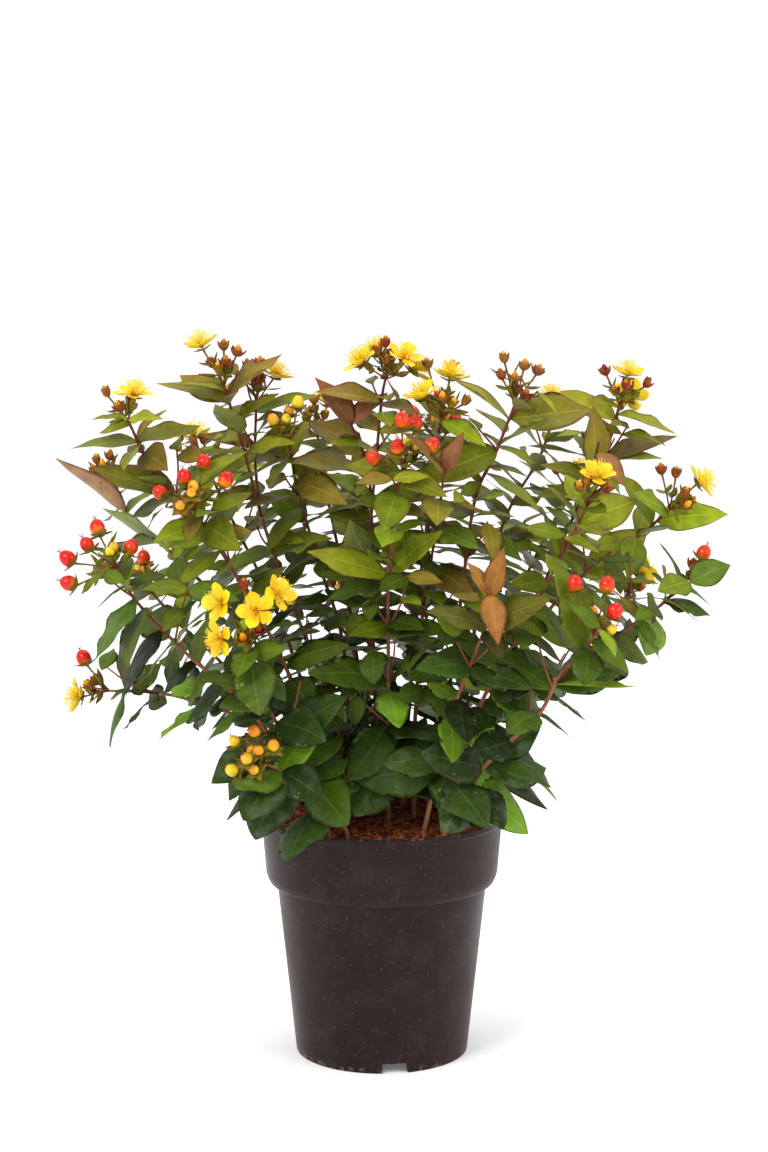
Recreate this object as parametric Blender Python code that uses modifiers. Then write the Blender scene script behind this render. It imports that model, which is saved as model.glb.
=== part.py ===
"""A potted hypericum plant with leaves, yellow flowers and berries, modelled in metres with +Z up.

The origin is on the floor, on the pot's axis. -Y is the front. The pot is a turned shell with a
notched foot and drain holes, filled with soil. Each shoot stands in a plain hole in the soil. Its
route is a short list of points, its named leaves are offsets from the route, and pairs of leaves
that cross at right angles fill the rest of it. A leaf turns, lifts or shrinks a little until it is
clear of everything placed before it. The stalks, leaves and buds of a shoot are fused in one solid.
Each flower and each bunch of berries is a solid of its own, seated on the end of its stalk.
"""

import math
import random

import bmesh
import bpy
from mathutils import Matrix, Vector
from mathutils.bvhtree import BVHTree

MM = 0.001
CM = 0.01
GAP = 0.0003
UP = Vector((0, 0, 1))

# Pot
POT_HEIGHT = 0.189
RIM_RADIUS = 0.095
COLLAR_HEIGHT = 0.053
COLLAR_LOW_RADIUS = 0.090
BODY_TOP_RADIUS = 0.0815
FOOT_RADIUS = 0.067
WALL = 0.0016
FOOT_WIDTH = 0.004
FOOT_HEIGHT = 0.011
FLOOR_THICKNESS = 0.002
LIP_HEIGHT = 0.0045
LIP_STEP = 0.0016
POT_SEGMENTS = 28
NOTCH_COUNT = 3
NOTCH_WIDTH = 0.020
NOTCH_HEIGHT = 0.008
NOTCH_DEPTH = 0.020
FIRST_NOTCH_TURN = math.radians(-81)
DRAIN_COUNT = 5
DRAIN_RADIUS = 0.005
DRAIN_RING = 0.036

# Soil
SOIL_TOP = 0.1815
SOIL_MOUND = 0.0012
SOIL_WAVE = 0.001
SOIL_RINGS = (0.0, 0.035, 0.068)
SOIL_SIDE_GAP = 0.0004
ROOT_END = 0.152
ROOT_HOLE_SIDES = 6

# Stalks, as radii in millimetres at the foot and at the tip
SHOOT_RADII = (1.9, 1.0)
SIDE_RADII = (1.2, 0.9)
PEDICEL_RADIUS = 0.65
STRAIGHT_ENOUGH = 0.0007

# Leaves. A station is a share of the length and the share of the full width there.
LEAF_WIDTH_RATIO = 0.42
LEAF_THICKNESS = 0.0012
SMALL_LEAF_STATIONS = ((0.42, 1.00),)
SMALL_LEAF = 0.041
LEAF_STATIONS = ((0.30, 0.93), (0.62, 0.86))
LARGE_LEAF_STATIONS = ((0.20, 0.80), (0.45, 1.00), (0.74, 0.66))
LARGE_LEAF = 0.066
LEAF_FOLD = 0.16
HAND_LEAF_ARCH = 0.10
ROOT_START = 0.25
ROOT_SIZE = 0.42
CLEARANCE = 0.0010
RIM_CLEARANCE = 0.004
OFF_STALK = 0.12

# Pairs of leaves that fill a shoot. Sizes and rises run from the soil to the top of the plant.
PAIR_SPACING = 0.080
FIRST_PAIR = 0.050
PAIR_KEEP_OFF = 0.028
PAIR_TIP_KEEP_OFF = 0.012
PAIR_SIZES = (0.064, 0.044)
PAIR_RISES = (-24, 22)
PAIR_ARCH = 0.12
PLANT_LOW = 0.19
PLANT_HIGH = 0.53
SEED = 1000

# Flowers and berries
PETAL_COUNT = 5
PETAL_LENGTH = 0.0135
PETAL_HALF_WIDTH = 0.0043
PETAL_RISE = math.radians(24)
PETAL_ARCH = -0.10
PETAL_STATIONS = ((0.62, 1.00),)
PETAL_ROOT = 0.0005
STAMEN_COUNT = 5
STAMEN_LENGTH = 0.0105
STAMEN_LEAN = math.radians(32)
STAMEN_RADIUS = 0.0004
CORE_RADIUS = 0.0021
CORE_TAPER = 0.7
CORE_HEIGHT = 0.0032
CALYX_RADIUS = 0.0045
CALYX_HEIGHT = 0.0018
BERRY_RADIUS = 0.0054
BERRY_LENGTH = 0.0135
HUB_RADII = (0.0016, 0.0013)
HUB_HEIGHT = 0.003
BUD_RADIUS = 0.0030
BUD_LENGTH = 0.0085
EGG_TAPER = 0.16
SUNK = 0.001
FLAT_ENOUGH = math.radians(0.3)

# Colours
CHARCOAL = (0.045, 0.036, 0.036)
COIR = (0.155, 0.055, 0.022)
LEAF_GREEN = (0.085, 0.150, 0.030)
OLIVE = (0.200, 0.210, 0.045)
YELLOW = (0.900, 0.620, 0.010)
RED = (0.600, 0.020, 0.015)
AMBER = (0.780, 0.400, 0.050)

# Shoots. Places are in centimetres. A route runs from the soil, or from the shoot named by "on",
# to the tip. A leaf is its distance along the route and the offset of its tip from there. Flowers,
# buds and berries are offsets from the end of the route; a flower may add the way that it faces.
SHOOTS = {
    "centre": dict(
        route=[(0.5, -2, 18.8), (0.5, -3, 25), (0.5, -4.5, 31), (0.5, -5.5, 39.5), (1, -6, 44),
               (1.5, -6, 46)],
        leaves=[(26.1, (-1, -4, -2.5)), (19.7, (-6, -2, 2)), (19.7, (4, -1.5, 3.5)), (15.6, (4.5, -2, 0)),
                (15.8, (-3, -2, -0.5)), (11.4, (-6, -2.5, 1)), (11.4, (4, -2, 3.5)),
                (7.8, (3.5, -3.5, -0.5)), (7.8, (-3, -4, -3.5)), (5, (-2.5, -4.5, -3.5)),
                (5, (3, -4.5, -3))],
        berries=[(0, -0.6, 3.2), (0.9, 1.0, 2.9), (-0.3, -1.6, 1.5), (-1.7, 0, 0.6), (1.9, 0, 1.4)]),
    "tall_middle": dict(
        route=[(-0.5, 1, 18.8), (-0.5, 1.5, 27.5), (-1, 1, 38.5), (-0.5, 0, 45.5), (0, -1, 51),
               (0.3, -1, 52.6)],
        leaves=[(32.2, (-5, 0, 0.8)), (32.2, (2.5, -4, -0.5)), (17.9, (-4, -2, 1)),
                (19.6, (-1.4, -2.5, 3.5))],
        flowers=[(-1.7, -0.8, 1.1), (-0.6, 1.4, 1.7), (1.3, -1.2, 1.5), (2, 1, 0.5)],
        buds=[(0, 0.2, 2.4), (0.4, 2, 0.4)]),
    "upper_left": dict(
        route=[(-2.5, 0, 18.8), (-3.5, 0, 26), (-6.5, 1, 34), (-9, 1, 41), (-10.5, 0, 47), (-12, 0, 52)],
        leaves=[(33.4, (-5.5, 0, 1.5)), (33.8, (4.5, 2, 2.5)), (33.6, (-4, 3, 1)), (33.4, (0.5, -3.5, 1)),
                (31, (-1.5, -4, 2.5)), (29.4, (-5, -3, 0)), (29.4, (4, -3, 1))],
        flowers=[(-1.6, 0, 2.8)],
        buds=[(0, 0.3, 2.7), (1, -0.3, 2.3)]),
    "upper_left_side": dict(
        on="upper_left",
        route=[(-9.3, 1, 42.5), (-9.8, 2.6, 46), (-9.7, 3, 50.5)],
        leaves=[(7.9, (5, -2, 0.5)), (7.9, (-3.5, 3, -0.5))],
        flowers=[(1.4, 0, 1.9)],
        buds=[(0.3, 0, 2.8), (-0.6, 0, 2.6)]),
    "outer_upper_left": dict(
        route=[(-3.5, -3, 18.8), (-6.5, -4, 29), (-9, -4, 34.5), (-13.5, -4, 42), (-17, -3, 45.5),
               (-19, -3, 49.5)],
        leaves=[(33.3, (-5, 0, -0.5)), (33.3, (4.5, 3, 1)), (33, (-0.8, -4, -1.5)), (32.4, (2.2, -4, -1)),
                (28.3, (-6.5, 1, 2)), (28.3, (5.5, -2, 3.5))],
        flowers=[(0.4, 0, 1.8, (0.1, -0.2, 1))],
        buds=[(-1.5, 0, 1.9)]),
    "outer_left_berries": dict(
        on="outer_upper_left",
        route=[(-12.6, -4, 40.7), (-13.2, -6, 42), (-13.8, -7, 43.2)],
        leaves=[(2.5, (3, -3.4, -1.5)), (2.5, (-3.5, -2.8, -1))],
        berries=[(-0.6, -0.3, 2), (0.6, 0.5, 3), (-2.2, 0.3, 0.9), (2, 0.2, 1.7)]),
    "left_fan": dict(
        route=[(-4, 1, 18.8), (-9.5, 3, 31), (-14.5, 5, 36.5), (-18.7, 7, 40), (-21.5, 8.5, 42.5),
               (-22, 8.5, 44)],
        leaves=[(30.9, (-1.5, 0, 3.5)), (30.9, (2.5, -0.5, 2)), (29.4, (-5.4, 0.5, 4.6)), (29.4, (2.5, 3, 2)),
                (24.3, (-5.5, 1, 3.5)), (20, (-2.5, -4, 0)), (25.7, (-4.5, -2.5, -0.5))],
        buds=[(0.3, 0, 1.6)]),
    "left_berries": dict(
        route=[(-4.5, -5, 18.8), (-9, -8, 27.5), (-14.5, -9, 33), (-18, -8, 36.5), (-19.5, -8, 39)],
        leaves=[(24.3, (0.8, -3, 2.5)), (23.6, (-2.5, -4, -4)), (22.6, (-0.6, -5, -3.5)),
                (19.1, (3, -2.5, 3)), (19.1, (-1.5, -4.5, -1.5))],
        berries=[(-3.1, 0, 0.4), (-1.9, 0.4, 1.3), (-1.4, 1.6, 2.3), (-2.9, -0.2, -1.2), (0.8, 0.4, 1)]),
    "low_left": dict(
        route=[(-5, -1, 18.8), (-9, -2, 25.5), (-14.5, -2, 28), (-18, -1, 28.5), (-21, -1, 28.6)],
        leaves=[(19.3, (0, 0.5, 5)), (18.9, (2.5, -2, 2.5)), (16.6, (-2.5, -4, -2)), (19.3, (0.2, -5, -3.5)),
                (13.2, (-3, -4, -2)), (13.4, (-1, 4, 2.5))],
        flowers=[(-2, -0.4, -0.4, (-1, -0.2, 0.15))],
        berries=[(-1.7, 0.6, 1.9)]),
    "low_left_berries": dict(
        route=[(-4, -6.3, 18.8), (-6, -9, 23), (-8.3, -12, 25.2)],
        leaves=[(8, (1.5, 4, 3)), (8, (3, -4, -1)), (8, (-2.5, -5, -2.5)), (8, (-3, -4, 1.2)),
                (2.4, (-2, -6, -2.3))],
        berries=[(-0.8, -0.6, 2.1), (-2.1, -0.3, 1.4), (-1.2, -1.6, 0.5), (0.4, -0.9, 1.2),
                 (-2.1, -1, -0.4)]),
    "left_flowers": dict(
        route=[(-2.6, -6.4, 18.8), (-7.4, -8.5, 27), (-9, -11, 30.5), (-9.5, -13, 34.3)],
        leaves=[(17, (0.8, -5, -3)), (14.7, (-3.5, -4, 2)), (12.8, (-3, -4.5, 0.5)),
                (11.9, (-1, -4.5, -2.5)), (9.6, (-5, -4, -3)), (8.9, (5.5, -2.5, 2))],
        flowers=[(-1.8, -1.2, 3, (-0.7, -0.8, 0.3)), (0.6, -1.8, 2.6, (0.05, -1, 0.25)),
                 (1.9, 0.6, 3.4, (0.7, -0.5, 0.5)), (-1.8, -0.4, 0.4, (-0.7, -0.6, -0.1))],
        buds=[(-0.3, -0.6, 4)]),
    "brown_pair_left": dict(
        route=[(-1.5, 3, 18.8), (-1, 4, 31.5), (-0.8, 2.4, 41.5), (-1.2, 0.6, 46), (-2.5, -1, 49.5)],
        leaves=[(31.3, (-2.5, 0, 4)), (31.3, (1.5, 0, 3.5)), (29.6, (-4, 2.5, 1.5)), (30, (-1.5, -3, 0.5)),
                (27, (-6.5, -3, 1)), (26.1, (4.5, 2.5, 0))]),
    "yellow_berries": dict(
        route=[(-2.5, 4.5, 18.8), (-3, 6, 30.5), (-5, 4, 38), (-6.5, 1, 44), (-7, 0, 47.3)],
        leaves=[(29.4, (-1.5, -4, -2)), (29.4, (1, 3.5, 2.5)), (27.4, (4, -3, -1.5)), (26, (-4, -4, -0.5))],
        berries=[(-1.1, -0.5, 1.7), (-0.1, 0.8, 2.2), (0.6, -0.8, 3)]),
    "middle_flowers": dict(
        route=[(2.5, 0, 18.8), (2.5, 0, 24.5), (3, 0, 32.5), (3.5, -1, 40.5), (4, -2, 46.5), (4.5, -3, 49.8)],
        leaves=[(29.2, (-3, 3.5, 0)), (29.2, (3.5, 3, -1))],
        flowers=[(-1.3, -0.6, 1.4), (0.6, 0.5, 2.8)],
        buds=[(0, -1.2, 1.3), (1.6, -0.4, 1), (-1, 1.6, 3.6), (0.8, 3.4, 3.4)]),
    "brown_pair_right": dict(
        on="middle_flowers",
        route=[(3.1, -0.1, 34), (4, -4, 41), (4.5, -6, 45), (4.5, -7, 47.3)],
        leaves=[(13.4, (-3.3, 0, 4)), (13.4, (1.6, 0, 3.2)), (8.6, (3, -4, -1))]),
    "upper_right": dict(
        route=[(3.5, -1.8, 18.8), (5, -2.6, 28), (6, -3, 36), (7, -3, 43.5), (8.5, -3, 47), (10, -3, 50.8)],
        leaves=[(31.7, (6.5, 3, 0.5)), (31.7, (-5, 0, 2.5)), (29.6, (4, -2.5, 2)), (29.2, (-6, -3, -2.5)),
                (30.6, (-2, 4, 1.5)), (27.3, (4, -3, -2.5))],
        buds=[(-1, -0.4, 1.9), (-0.8, 0.6, 3.1), (1.6, 0.4, 2.2), (0.6, -0.3, 2.6)]),
    "upper_right_back": dict(
        route=[(4.5, 3, 18.8), (6.5, 5, 28.5), (9.5, 8, 40), (12.5, 9, 45.5), (13.5, 9, 48.3)],
        leaves=[(29.6, (2.5, -3, -2.5)), (29.6, (-2, 3.5, 2))],
        flowers=[(0, 0, 1.9)],
        buds=[(-1.4, 0.4, 1.2), (1.3, 0.3, 1)]),
    "right_flower_top": dict(
        route=[(5.5, 2, 18.8), (8.5, 3.5, 27), (11.5, 5, 33), (15, 6, 41), (17.5, 5, 46.5), (18.5, 4, 50.3)],
        leaves=[(33.9, (4.5, 0, -1.5)), (29.8, (6, 0, 2)), (29.8, (4.5, -3, 0.5)), (29.8, (-5.5, 3, 1))],
        flowers=[(0.5, -0.3, 2.1), (0.9, 1.9, 0.4, (0.4, 1, 0.3))],
        buds=[(-1.1, 0, 2.3), (1.9, -0.2, 1.4)]),
    "brown_leaf_right": dict(
        on="right_flower_top",
        route=[(14.8, 5.9, 40.5), (16, 2.2, 44.5), (16.5, -1, 47.8)],
        leaves=[(7.2, (0, 0, 4.8)), (7.2, (-1.2, 4.5, 2.5)), (4, (2.5, -2.5, -2))]),
    "right_flower": dict(
        route=[(5, -4, 18.8), (7, -6, 27.5), (10, -7, 33.5), (13, -8, 39.5), (15, -9, 43.8)],
        leaves=[(26, (1.5, -3, -0.5)), (26, (4.5, 2.5, 1.5)), (23, (-1, 0, 3)), (23, (-1, -4, -0.5))],
        flowers=[(0.7, 0, 1.9, (0.15, -0.5, 1))],
        buds=[(-0.6, -1, 1.2)]),
    "far_right": dict(
        route=[(6.5, -1, 18.8), (9, 0, 27.5), (12.5, 1, 34), (17, -1, 39), (19.6, -3, 41), (21.6, -4, 43)],
        leaves=[(28.6, (-2.5, 0, 3.7)), (29, (5.4, 0, 0.5)), (27.2, (2.5, -3, 1)), (21.6, (5, 3, 3)),
                (21.6, (-2, 4, 2.5))],
        flowers=[(2, 0, 1.9, (0.9, -0.2, 0.5))],
        buds=[(-0.6, 0.6, 2.6), (0.5, 1, 2.3)]),
    "low_right": dict(
        route=[(5, -6.2, 18.8), (7.5, -8, 24), (11.5, -10, 28.5), (13.5, -10, 32), (18, -8, 34.5),
               (20.5, -7, 36), (22.5, -6, 37.8)],
        leaves=[(25.8, (-0.5, -2.4, 3)), (25.6, (3.5, 0, -1)), (23.2, (-4.5, 0, 3)), (25.8, (2, -3.5, -1)),
                (20.4, (2.5, -4, -1)), (20.4, (-0.5, -3, 3)), (15, (5.5, -3.5, 0.5)), (14.8, (5, 3, 0.5)),
                (14.6, (-7, 3, 3)), (11.3, (0, 4.5, 3)), (7.3, (3.5, 0, 2.5)), (7.4, (4, -3.5, -1.5)),
                (4.6, (-2.5, -5, -2.5)), (4.6, (2, -4, -2.5)), (4.2, (1.5, 4, 3.5))],
        berries=[(1.2, 0, 1.6)]),
    "right_berries": dict(
        on="low_right",
        route=[(13.5, -10.1, 31.6), (14.6, -12, 33.4), (15.2, -13, 34.8)],
        leaves=[(3.2, (-3, 1, 6.2)), (3.4, (-0.5, -4, -2))],
        berries=[(-1.2, 0.2, 3.2), (0.9, 0.6, 3), (1.2, -0.8, 1.4)]),
    "orange_pair": dict(
        route=[(3.2, -6, 18.8), (5, -8, 27.5), (7, -10, 33.5), (8, -11, 36.5), (7.4, -12, 38.5)],
        leaves=[(20, (1, 0, 3.7)), (20, (-1.7, 0, 2.6)), (17.6, (-4.5, -3, 1.5)), (17.6, (4.5, -3, 2.5)),
                (14, (-4, -4, 0.5)), (14, (4.5, -3, 0.5))]),
    "back_left": dict(
        route=[(-3.4, 4.2, 18.8), (-8, 9, 32), (-12.5, 12, 41), (-14.5, 13, 45)],
        flowers=[(-0.8, 0.8, 1.9)],
        buds=[(1.2, 0.4, 1.6), (-1.9, -0.6, 1)]),
    "back_middle": dict(
        route=[(-0.6, 5.4, 18.8), (-2.5, 8.5, 33), (-4.5, 10, 43), (-5.2, 10.5, 47.6)],
        flowers=[(0.8, 0.6, 2.1)],
        buds=[(-0.2, -0.9, 2.4), (-1.4, 0.4, 1.7)]),
    "back_tall": dict(
        route=[(1.6, 4.6, 18.8), (2.8, 9, 33), (4, 12.5, 43), (4.2, 13.2, 47)],
        berries=[(0.4, 0.6, 2.6), (-1.4, 0.5, 1.4), (1.5, 1, 1), (0, 2, 0.9)]),
    "back_right": dict(
        route=[(3.6, 5.6, 18.8), (8.6, 10.6, 29), (13, 13.3, 38), (15.4, 14.2, 42)],
        flowers=[(0.9, 0.8, 1.8)],
        buds=[(-1, 0.3, 1.9)]),
    "back_low_left": dict(
        route=[(-5.4, 3.2, 18.8), (-11, 8, 27), (-16.5, 11, 32), (-19, 12, 34.6)],
        berries=[(-1.8, 0.5, 0.7), (-0.6, 1.6, 1.5), (-0.3, -0.7, 2.2)]),
    "back_low_middle": dict(
        route=[(-0.6, 7, 18.8), (-1.5, 10.5, 25.5), (-2.6, 13.8, 30.5), (-2.8, 15, 33)],
        flowers=[(0, 1.5, 1.3, (0, 1, 0.5))],
        buds=[(1.3, 0.6, 1.3), (-1.3, 0.4, 1.4)]),
    "back_low_right": dict(
        route=[(6, 4, 18.8), (12, 8.5, 26), (17.5, 11.5, 31), (20, 12.5, 34)],
        flowers=[(1.2, 0.6, 1.6, (0.7, 0.7, 0.5))],
        buds=[(-0.4, 0.8, 2)]),
}

AMBER_BUNCHES = ("yellow_berries", "low_left_berries")
YOUNG_SHOOTS = ("brown_pair_left", "brown_pair_right", "brown_leaf_right", "orange_pair")


def variants():
    """Small turns, lifts and shrinks of a leaf, the least change first."""
    turns = (0, 10, -10, 20, -20, 32, -32, 45, -45, 60, -60)
    lifts = (0, 9, -9, 18, -18, 30, -30)
    scales = (1.0, 0.88, 0.76)
    every = [(turn, lift, scale) for turn in turns for lift in lifts for scale in scales]
    return sorted(every, key=lambda v: abs(v[0]) + abs(v[1]) + 110 * (1 - v[2]))


VARIANTS = variants()


def clear_scene():
    for thing in list(bpy.data.objects):
        bpy.data.objects.remove(thing, do_unlink=True)


def material(name, colour, roughness, metallic=0.0):
    made = bpy.data.materials.new(name)
    made.use_nodes = True
    shader = made.node_tree.nodes["Principled BSDF"]
    shader.inputs["Base Color"].default_value = (*colour, 1)
    shader.inputs["Roughness"].default_value = roughness
    shader.inputs["Metallic"].default_value = metallic
    return made


def new_object(name, mesh, collection):
    made = bpy.data.objects.new(name, mesh)
    collection.objects.link(made)
    return made


def evaluated_mesh(thing):
    bpy.context.view_layer.update()
    return bpy.data.meshes.new_from_object(thing.evaluated_get(bpy.context.evaluated_depsgraph_get()))


def apply_modifiers(thing):
    mesh = evaluated_mesh(thing)
    thing.modifiers.clear()
    thing.data = mesh


def boolean(thing, cutters, operation, solver):
    step = thing.modifiers.new(operation.title(), "BOOLEAN")
    step.operation = operation
    step.solver = solver
    step.operand_type = "COLLECTION"
    step.collection = cutters
    apply_modifiers(thing)
    for cutter in list(cutters.objects):
        bpy.data.objects.remove(cutter, do_unlink=True)


def lathe(name, profile, collection):
    """A turned solid from a closed profile of radius and height, as a Screw modifier."""
    mesh = bpy.data.meshes.new(name)
    points = [(radius, 0, height) for radius, height in profile]
    edges = [(i, (i + 1) % len(points)) for i in range(len(points))]
    mesh.from_pydata(points, edges, [])
    made = new_object(name, mesh, collection)
    screw = made.modifiers.new("Screw", "SCREW")
    screw.steps = POT_SEGMENTS
    screw.render_steps = POT_SEGMENTS
    screw.use_merge_vertices = True
    screw.merge_threshold = 0.00001
    screw.use_normal_calculate = True
    apply_modifiers(made)
    return made


def pot_inner_radius(height):
    """Radius of the inside of the wall, which steps out under the collar."""
    share = (height - FOOT_HEIGHT) / (POT_HEIGHT - COLLAR_HEIGHT - FOOT_HEIGHT)
    if share < 1:
        return FOOT_RADIUS + (BODY_TOP_RADIUS - FOOT_RADIUS) * share - WALL
    rise = (height - (POT_HEIGHT - COLLAR_HEIGHT)) / COLLAR_HEIGHT
    return COLLAR_LOW_RADIUS + (RIM_RADIUS - 0.002 - COLLAR_LOW_RADIUS) * rise - WALL


def make_pot(parts, cutters):
    collar_low = POT_HEIGHT - COLLAR_HEIGHT
    outer = [
        (RIM_RADIUS, POT_HEIGHT),
        (RIM_RADIUS, POT_HEIGHT - LIP_HEIGHT),
        (RIM_RADIUS - LIP_STEP, POT_HEIGHT - LIP_HEIGHT - 0.001),
        (COLLAR_LOW_RADIUS, collar_low + 0.006),
        (COLLAR_LOW_RADIUS - 0.0045, collar_low),
        (BODY_TOP_RADIUS, collar_low - 0.0015),
        (FOOT_RADIUS, 0.0),
    ]
    inner = [
        (FOOT_RADIUS - FOOT_WIDTH, 0.0),
        (FOOT_RADIUS - FOOT_WIDTH, FOOT_HEIGHT - FLOOR_THICKNESS),
        (0.0, FOOT_HEIGHT - FLOOR_THICKNESS),
        (0.0, FOOT_HEIGHT),
        (pot_inner_radius(FOOT_HEIGHT), FOOT_HEIGHT),
        (BODY_TOP_RADIUS - WALL, collar_low + 0.001),
        (COLLAR_LOW_RADIUS - WALL - 0.001, collar_low + 0.004),
        (RIM_RADIUS - 0.0030, POT_HEIGHT),
    ]
    pot = lathe("pot", outer + inner, parts)
    for i in range(NOTCH_COUNT):
        turn = FIRST_NOTCH_TURN + i * math.tau / NOTCH_COUNT
        bpy.ops.mesh.primitive_cube_add(size=1)
        notch = bpy.context.object
        notch.scale = (NOTCH_DEPTH, NOTCH_WIDTH, 2 * NOTCH_HEIGHT)
        notch.rotation_euler = (0, 0, turn)
        notch.location = (FOOT_RADIUS * math.cos(turn), FOOT_RADIUS * math.sin(turn), 0)
        hide_cutter(notch, cutters)
    for i in range(DRAIN_COUNT):
        turn = i * math.tau / DRAIN_COUNT
        place = (DRAIN_RING * math.cos(turn), DRAIN_RING * math.sin(turn), FOOT_HEIGHT)
        bpy.ops.mesh.primitive_cylinder_add(vertices=10, radius=DRAIN_RADIUS, depth=0.01, location=place)
        hide_cutter(bpy.context.object, cutters)
    boolean(pot, cutters, "DIFFERENCE", "EXACT")
    pot.data.materials.append(material("pot plastic", CHARCOAL, 0.45))
    return pot


def hide_cutter(thing, cutters):
    for owner in list(thing.users_collection):
        owner.objects.unlink(thing)
    cutters.objects.link(thing)
    thing.hide_render = True
    thing.display_type = "WIRE"


def soil_height(x, y):
    """A low mound with small waves, in metres."""
    mound = SOIL_MOUND * (1 - (x * x + y * y) / RIM_RADIUS ** 2)
    waves = math.sin(x * 190 + 1.3) * math.cos(y * 160 - 0.4) + 0.5 * math.sin(x * 330 - y * 290)
    return SOIL_TOP + mound + SOIL_WAVE * waves


def make_soil(parts, cutters, roots):
    """The filling of the pot, with a plain hole for the foot of each shoot."""
    collar_low = POT_HEIGHT - COLLAR_HEIGHT
    profile = [(radius, SOIL_TOP) for radius in SOIL_RINGS]
    profile += [
        (pot_inner_radius(SOIL_TOP) - SOIL_SIDE_GAP, SOIL_TOP),
        (COLLAR_LOW_RADIUS - WALL - 0.001 - SOIL_SIDE_GAP, collar_low + 0.004),
        (BODY_TOP_RADIUS - WALL - SOIL_SIDE_GAP, collar_low + 0.001),
        (pot_inner_radius(FOOT_HEIGHT) - SOIL_SIDE_GAP, FOOT_HEIGHT + GAP),
        (0.0, FOOT_HEIGHT + GAP),
    ]
    soil = lathe("soil", profile, parts)
    for vertex in soil.data.vertices:
        if vertex.co.z > SOIL_TOP - 0.0001:
            vertex.co.z = soil_height(vertex.co.x, vertex.co.y)
    depth = 2 * (SOIL_TOP - ROOT_END)
    radius = (SHOOT_RADII[0] * MM + GAP) / math.cos(math.pi / ROOT_HOLE_SIDES)
    for x, y in roots:
        place = (x, y, ROOT_END - GAP + depth / 2)
        bpy.ops.mesh.primitive_cylinder_add(
            vertices=ROOT_HOLE_SIDES, radius=radius, depth=depth, location=place)
        hide_cutter(bpy.context.object, cutters)
    boolean(soil, cutters, "DIFFERENCE", "EXACT")
    soil.data.materials.append(material("soil", COIR, 0.95))
    return soil


def smooth_route(points, count=2):
    """Points of a Catmull-Rom curve through the route, count to each stretch."""
    ends = [points[0] * 2 - points[1]] + points + [points[-1] * 2 - points[-2]]
    curve = []
    for a, b, c, d in zip(ends, ends[1:], ends[2:], ends[3:]):
        for k in range(count):
            t = k / count
            curve.append(0.5 * (2 * b + (c - a) * t + (2 * a - 5 * b + 4 * c - d) * t * t
                                + (3 * b - a - 3 * c + d) * t ** 3))
    curve.append(points[-1])
    kept = [curve[0]]
    for point, following in zip(curve[1:], curve[2:]):
        if (point - kept[-1]).cross((following - kept[-1]).normalized()).length > STRAIGHT_ENOUGH:
            kept.append(point)
    return kept + [curve[-1]]


def along(plan, distance):
    """The point, the direction and the stalk's radius in metres at a distance along a route."""
    route = plan["route"]
    for start, end, thick, thin in zip(route, route[1:], plan["radii"], plan["radii"][1:]):
        length = (end - start).length
        if distance <= length:
            break
        distance -= length
    share = min(distance / length, 1)
    return start.lerp(end, share), (end - start).normalized(), (thick + (thin - thick) * share) * MM


def route_length(route):
    return sum((b - a).length for a, b in zip(route, route[1:]))


def blade_frame(offset, stem_direction):
    """Unit vectors out of a leaf's upper face and to its side."""
    axis = offset.normalized()
    lean = stem_direction * 0.55 + UP * 0.45
    face = lean - axis * lean.dot(axis)
    if face.length < 0.25:
        face = axis.cross(UP.cross(axis))
    face.normalize()
    return face, axis.cross(face)


def blade(base, offset, face, side, half_width, arch, stations, root, pad=0.0):
    """Vertices and triangles of a leaf: sections with three corners along an arched midrib.

    The upper corners are the edges and the lower one is the rib, so the blade is a shallow keel.
    Its root is a small section inside the stalk. A pad grows it, to test what lies clear.
    """
    length = offset.length
    middle = base + offset * 0.5 + face * arch * length

    def rib(t):
        return base * (1 - t) ** 2 + middle * 2 * t * (1 - t) + (base + offset) * t * t

    corners = []
    for t, share in [(0.0, 0.0)] + list(stations):
        tangent = rib(min(t + 0.01, 1)) - rib(max(t - 0.01, 0))
        normal = side.cross(tangent).normalized()
        if normal.dot(face) < 0:
            normal.negate()
        wide = half_width * share if t > 0 else root
        depth = max(LEAF_THICKNESS, LEAF_FOLD * wide) if t > 0 else root
        rise = normal * (depth / 2 + pad)
        reach = side * (wide + pad)
        corners += [rib(t) + rise - reach, rib(t) + rise + reach, rib(t) - rise]
    corners.append(rib(1))
    faces = [(0, 1, 2)]
    for a in range(0, 3 * len(stations), 3):
        b = a + 3
        faces += [(a, b, b + 1), (a, b + 1, a + 1), (a, a + 2, b + 2), (a, b + 2, b)]
        faces += [(a + 1, b + 2, a + 2), (a + 1, b + 1, b + 2)]
    last = 3 * len(stations)
    tip = len(corners) - 1
    faces += [(last, tip, last + 1), (last + 1, tip, last + 2), (last + 2, tip, last)]
    return corners, faces


def leaf_shape(leaf, start=0.0, pad=0.0):
    """The blade of a leaf, with the stations that suit its size, from a share of its length on."""
    face, side = blade_frame(leaf["offset"], leaf["stem"])
    stations = LARGE_LEAF_STATIONS if leaf["offset"].length > LARGE_LEAF else LEAF_STATIONS
    if leaf["offset"].length < SMALL_LEAF:
        stations = SMALL_LEAF_STATIONS
    base = leaf["base"] + leaf["offset"] * start
    offset = leaf["offset"] * (1 - start)
    return blade(base, offset, face, side, leaf["half_width"], leaf["arch"], stations, leaf["root"], pad)


def tube_faces(points, radii):
    """A plain five-sided tube, used only to test what lies clear."""
    corners = []
    faces = []
    for i, (point, radius) in enumerate(zip(points, radii)):
        direction = (points[min(i + 1, len(points) - 1)] - points[max(i - 1, 0)]).normalized()
        across = direction.orthogonal().normalized()
        for k in range(5):
            corners.append(point + Matrix.Rotation(k * math.tau / 5, 3, direction) @ across * radius)
    for i in range(len(points) - 1):
        for k in range(5):
            a = 5 * i + k
            b = 5 * i + (k + 1) % 5
            faces += [(a, b, b + 5), (a, b + 5, a + 5)]
    return corners, faces


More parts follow.
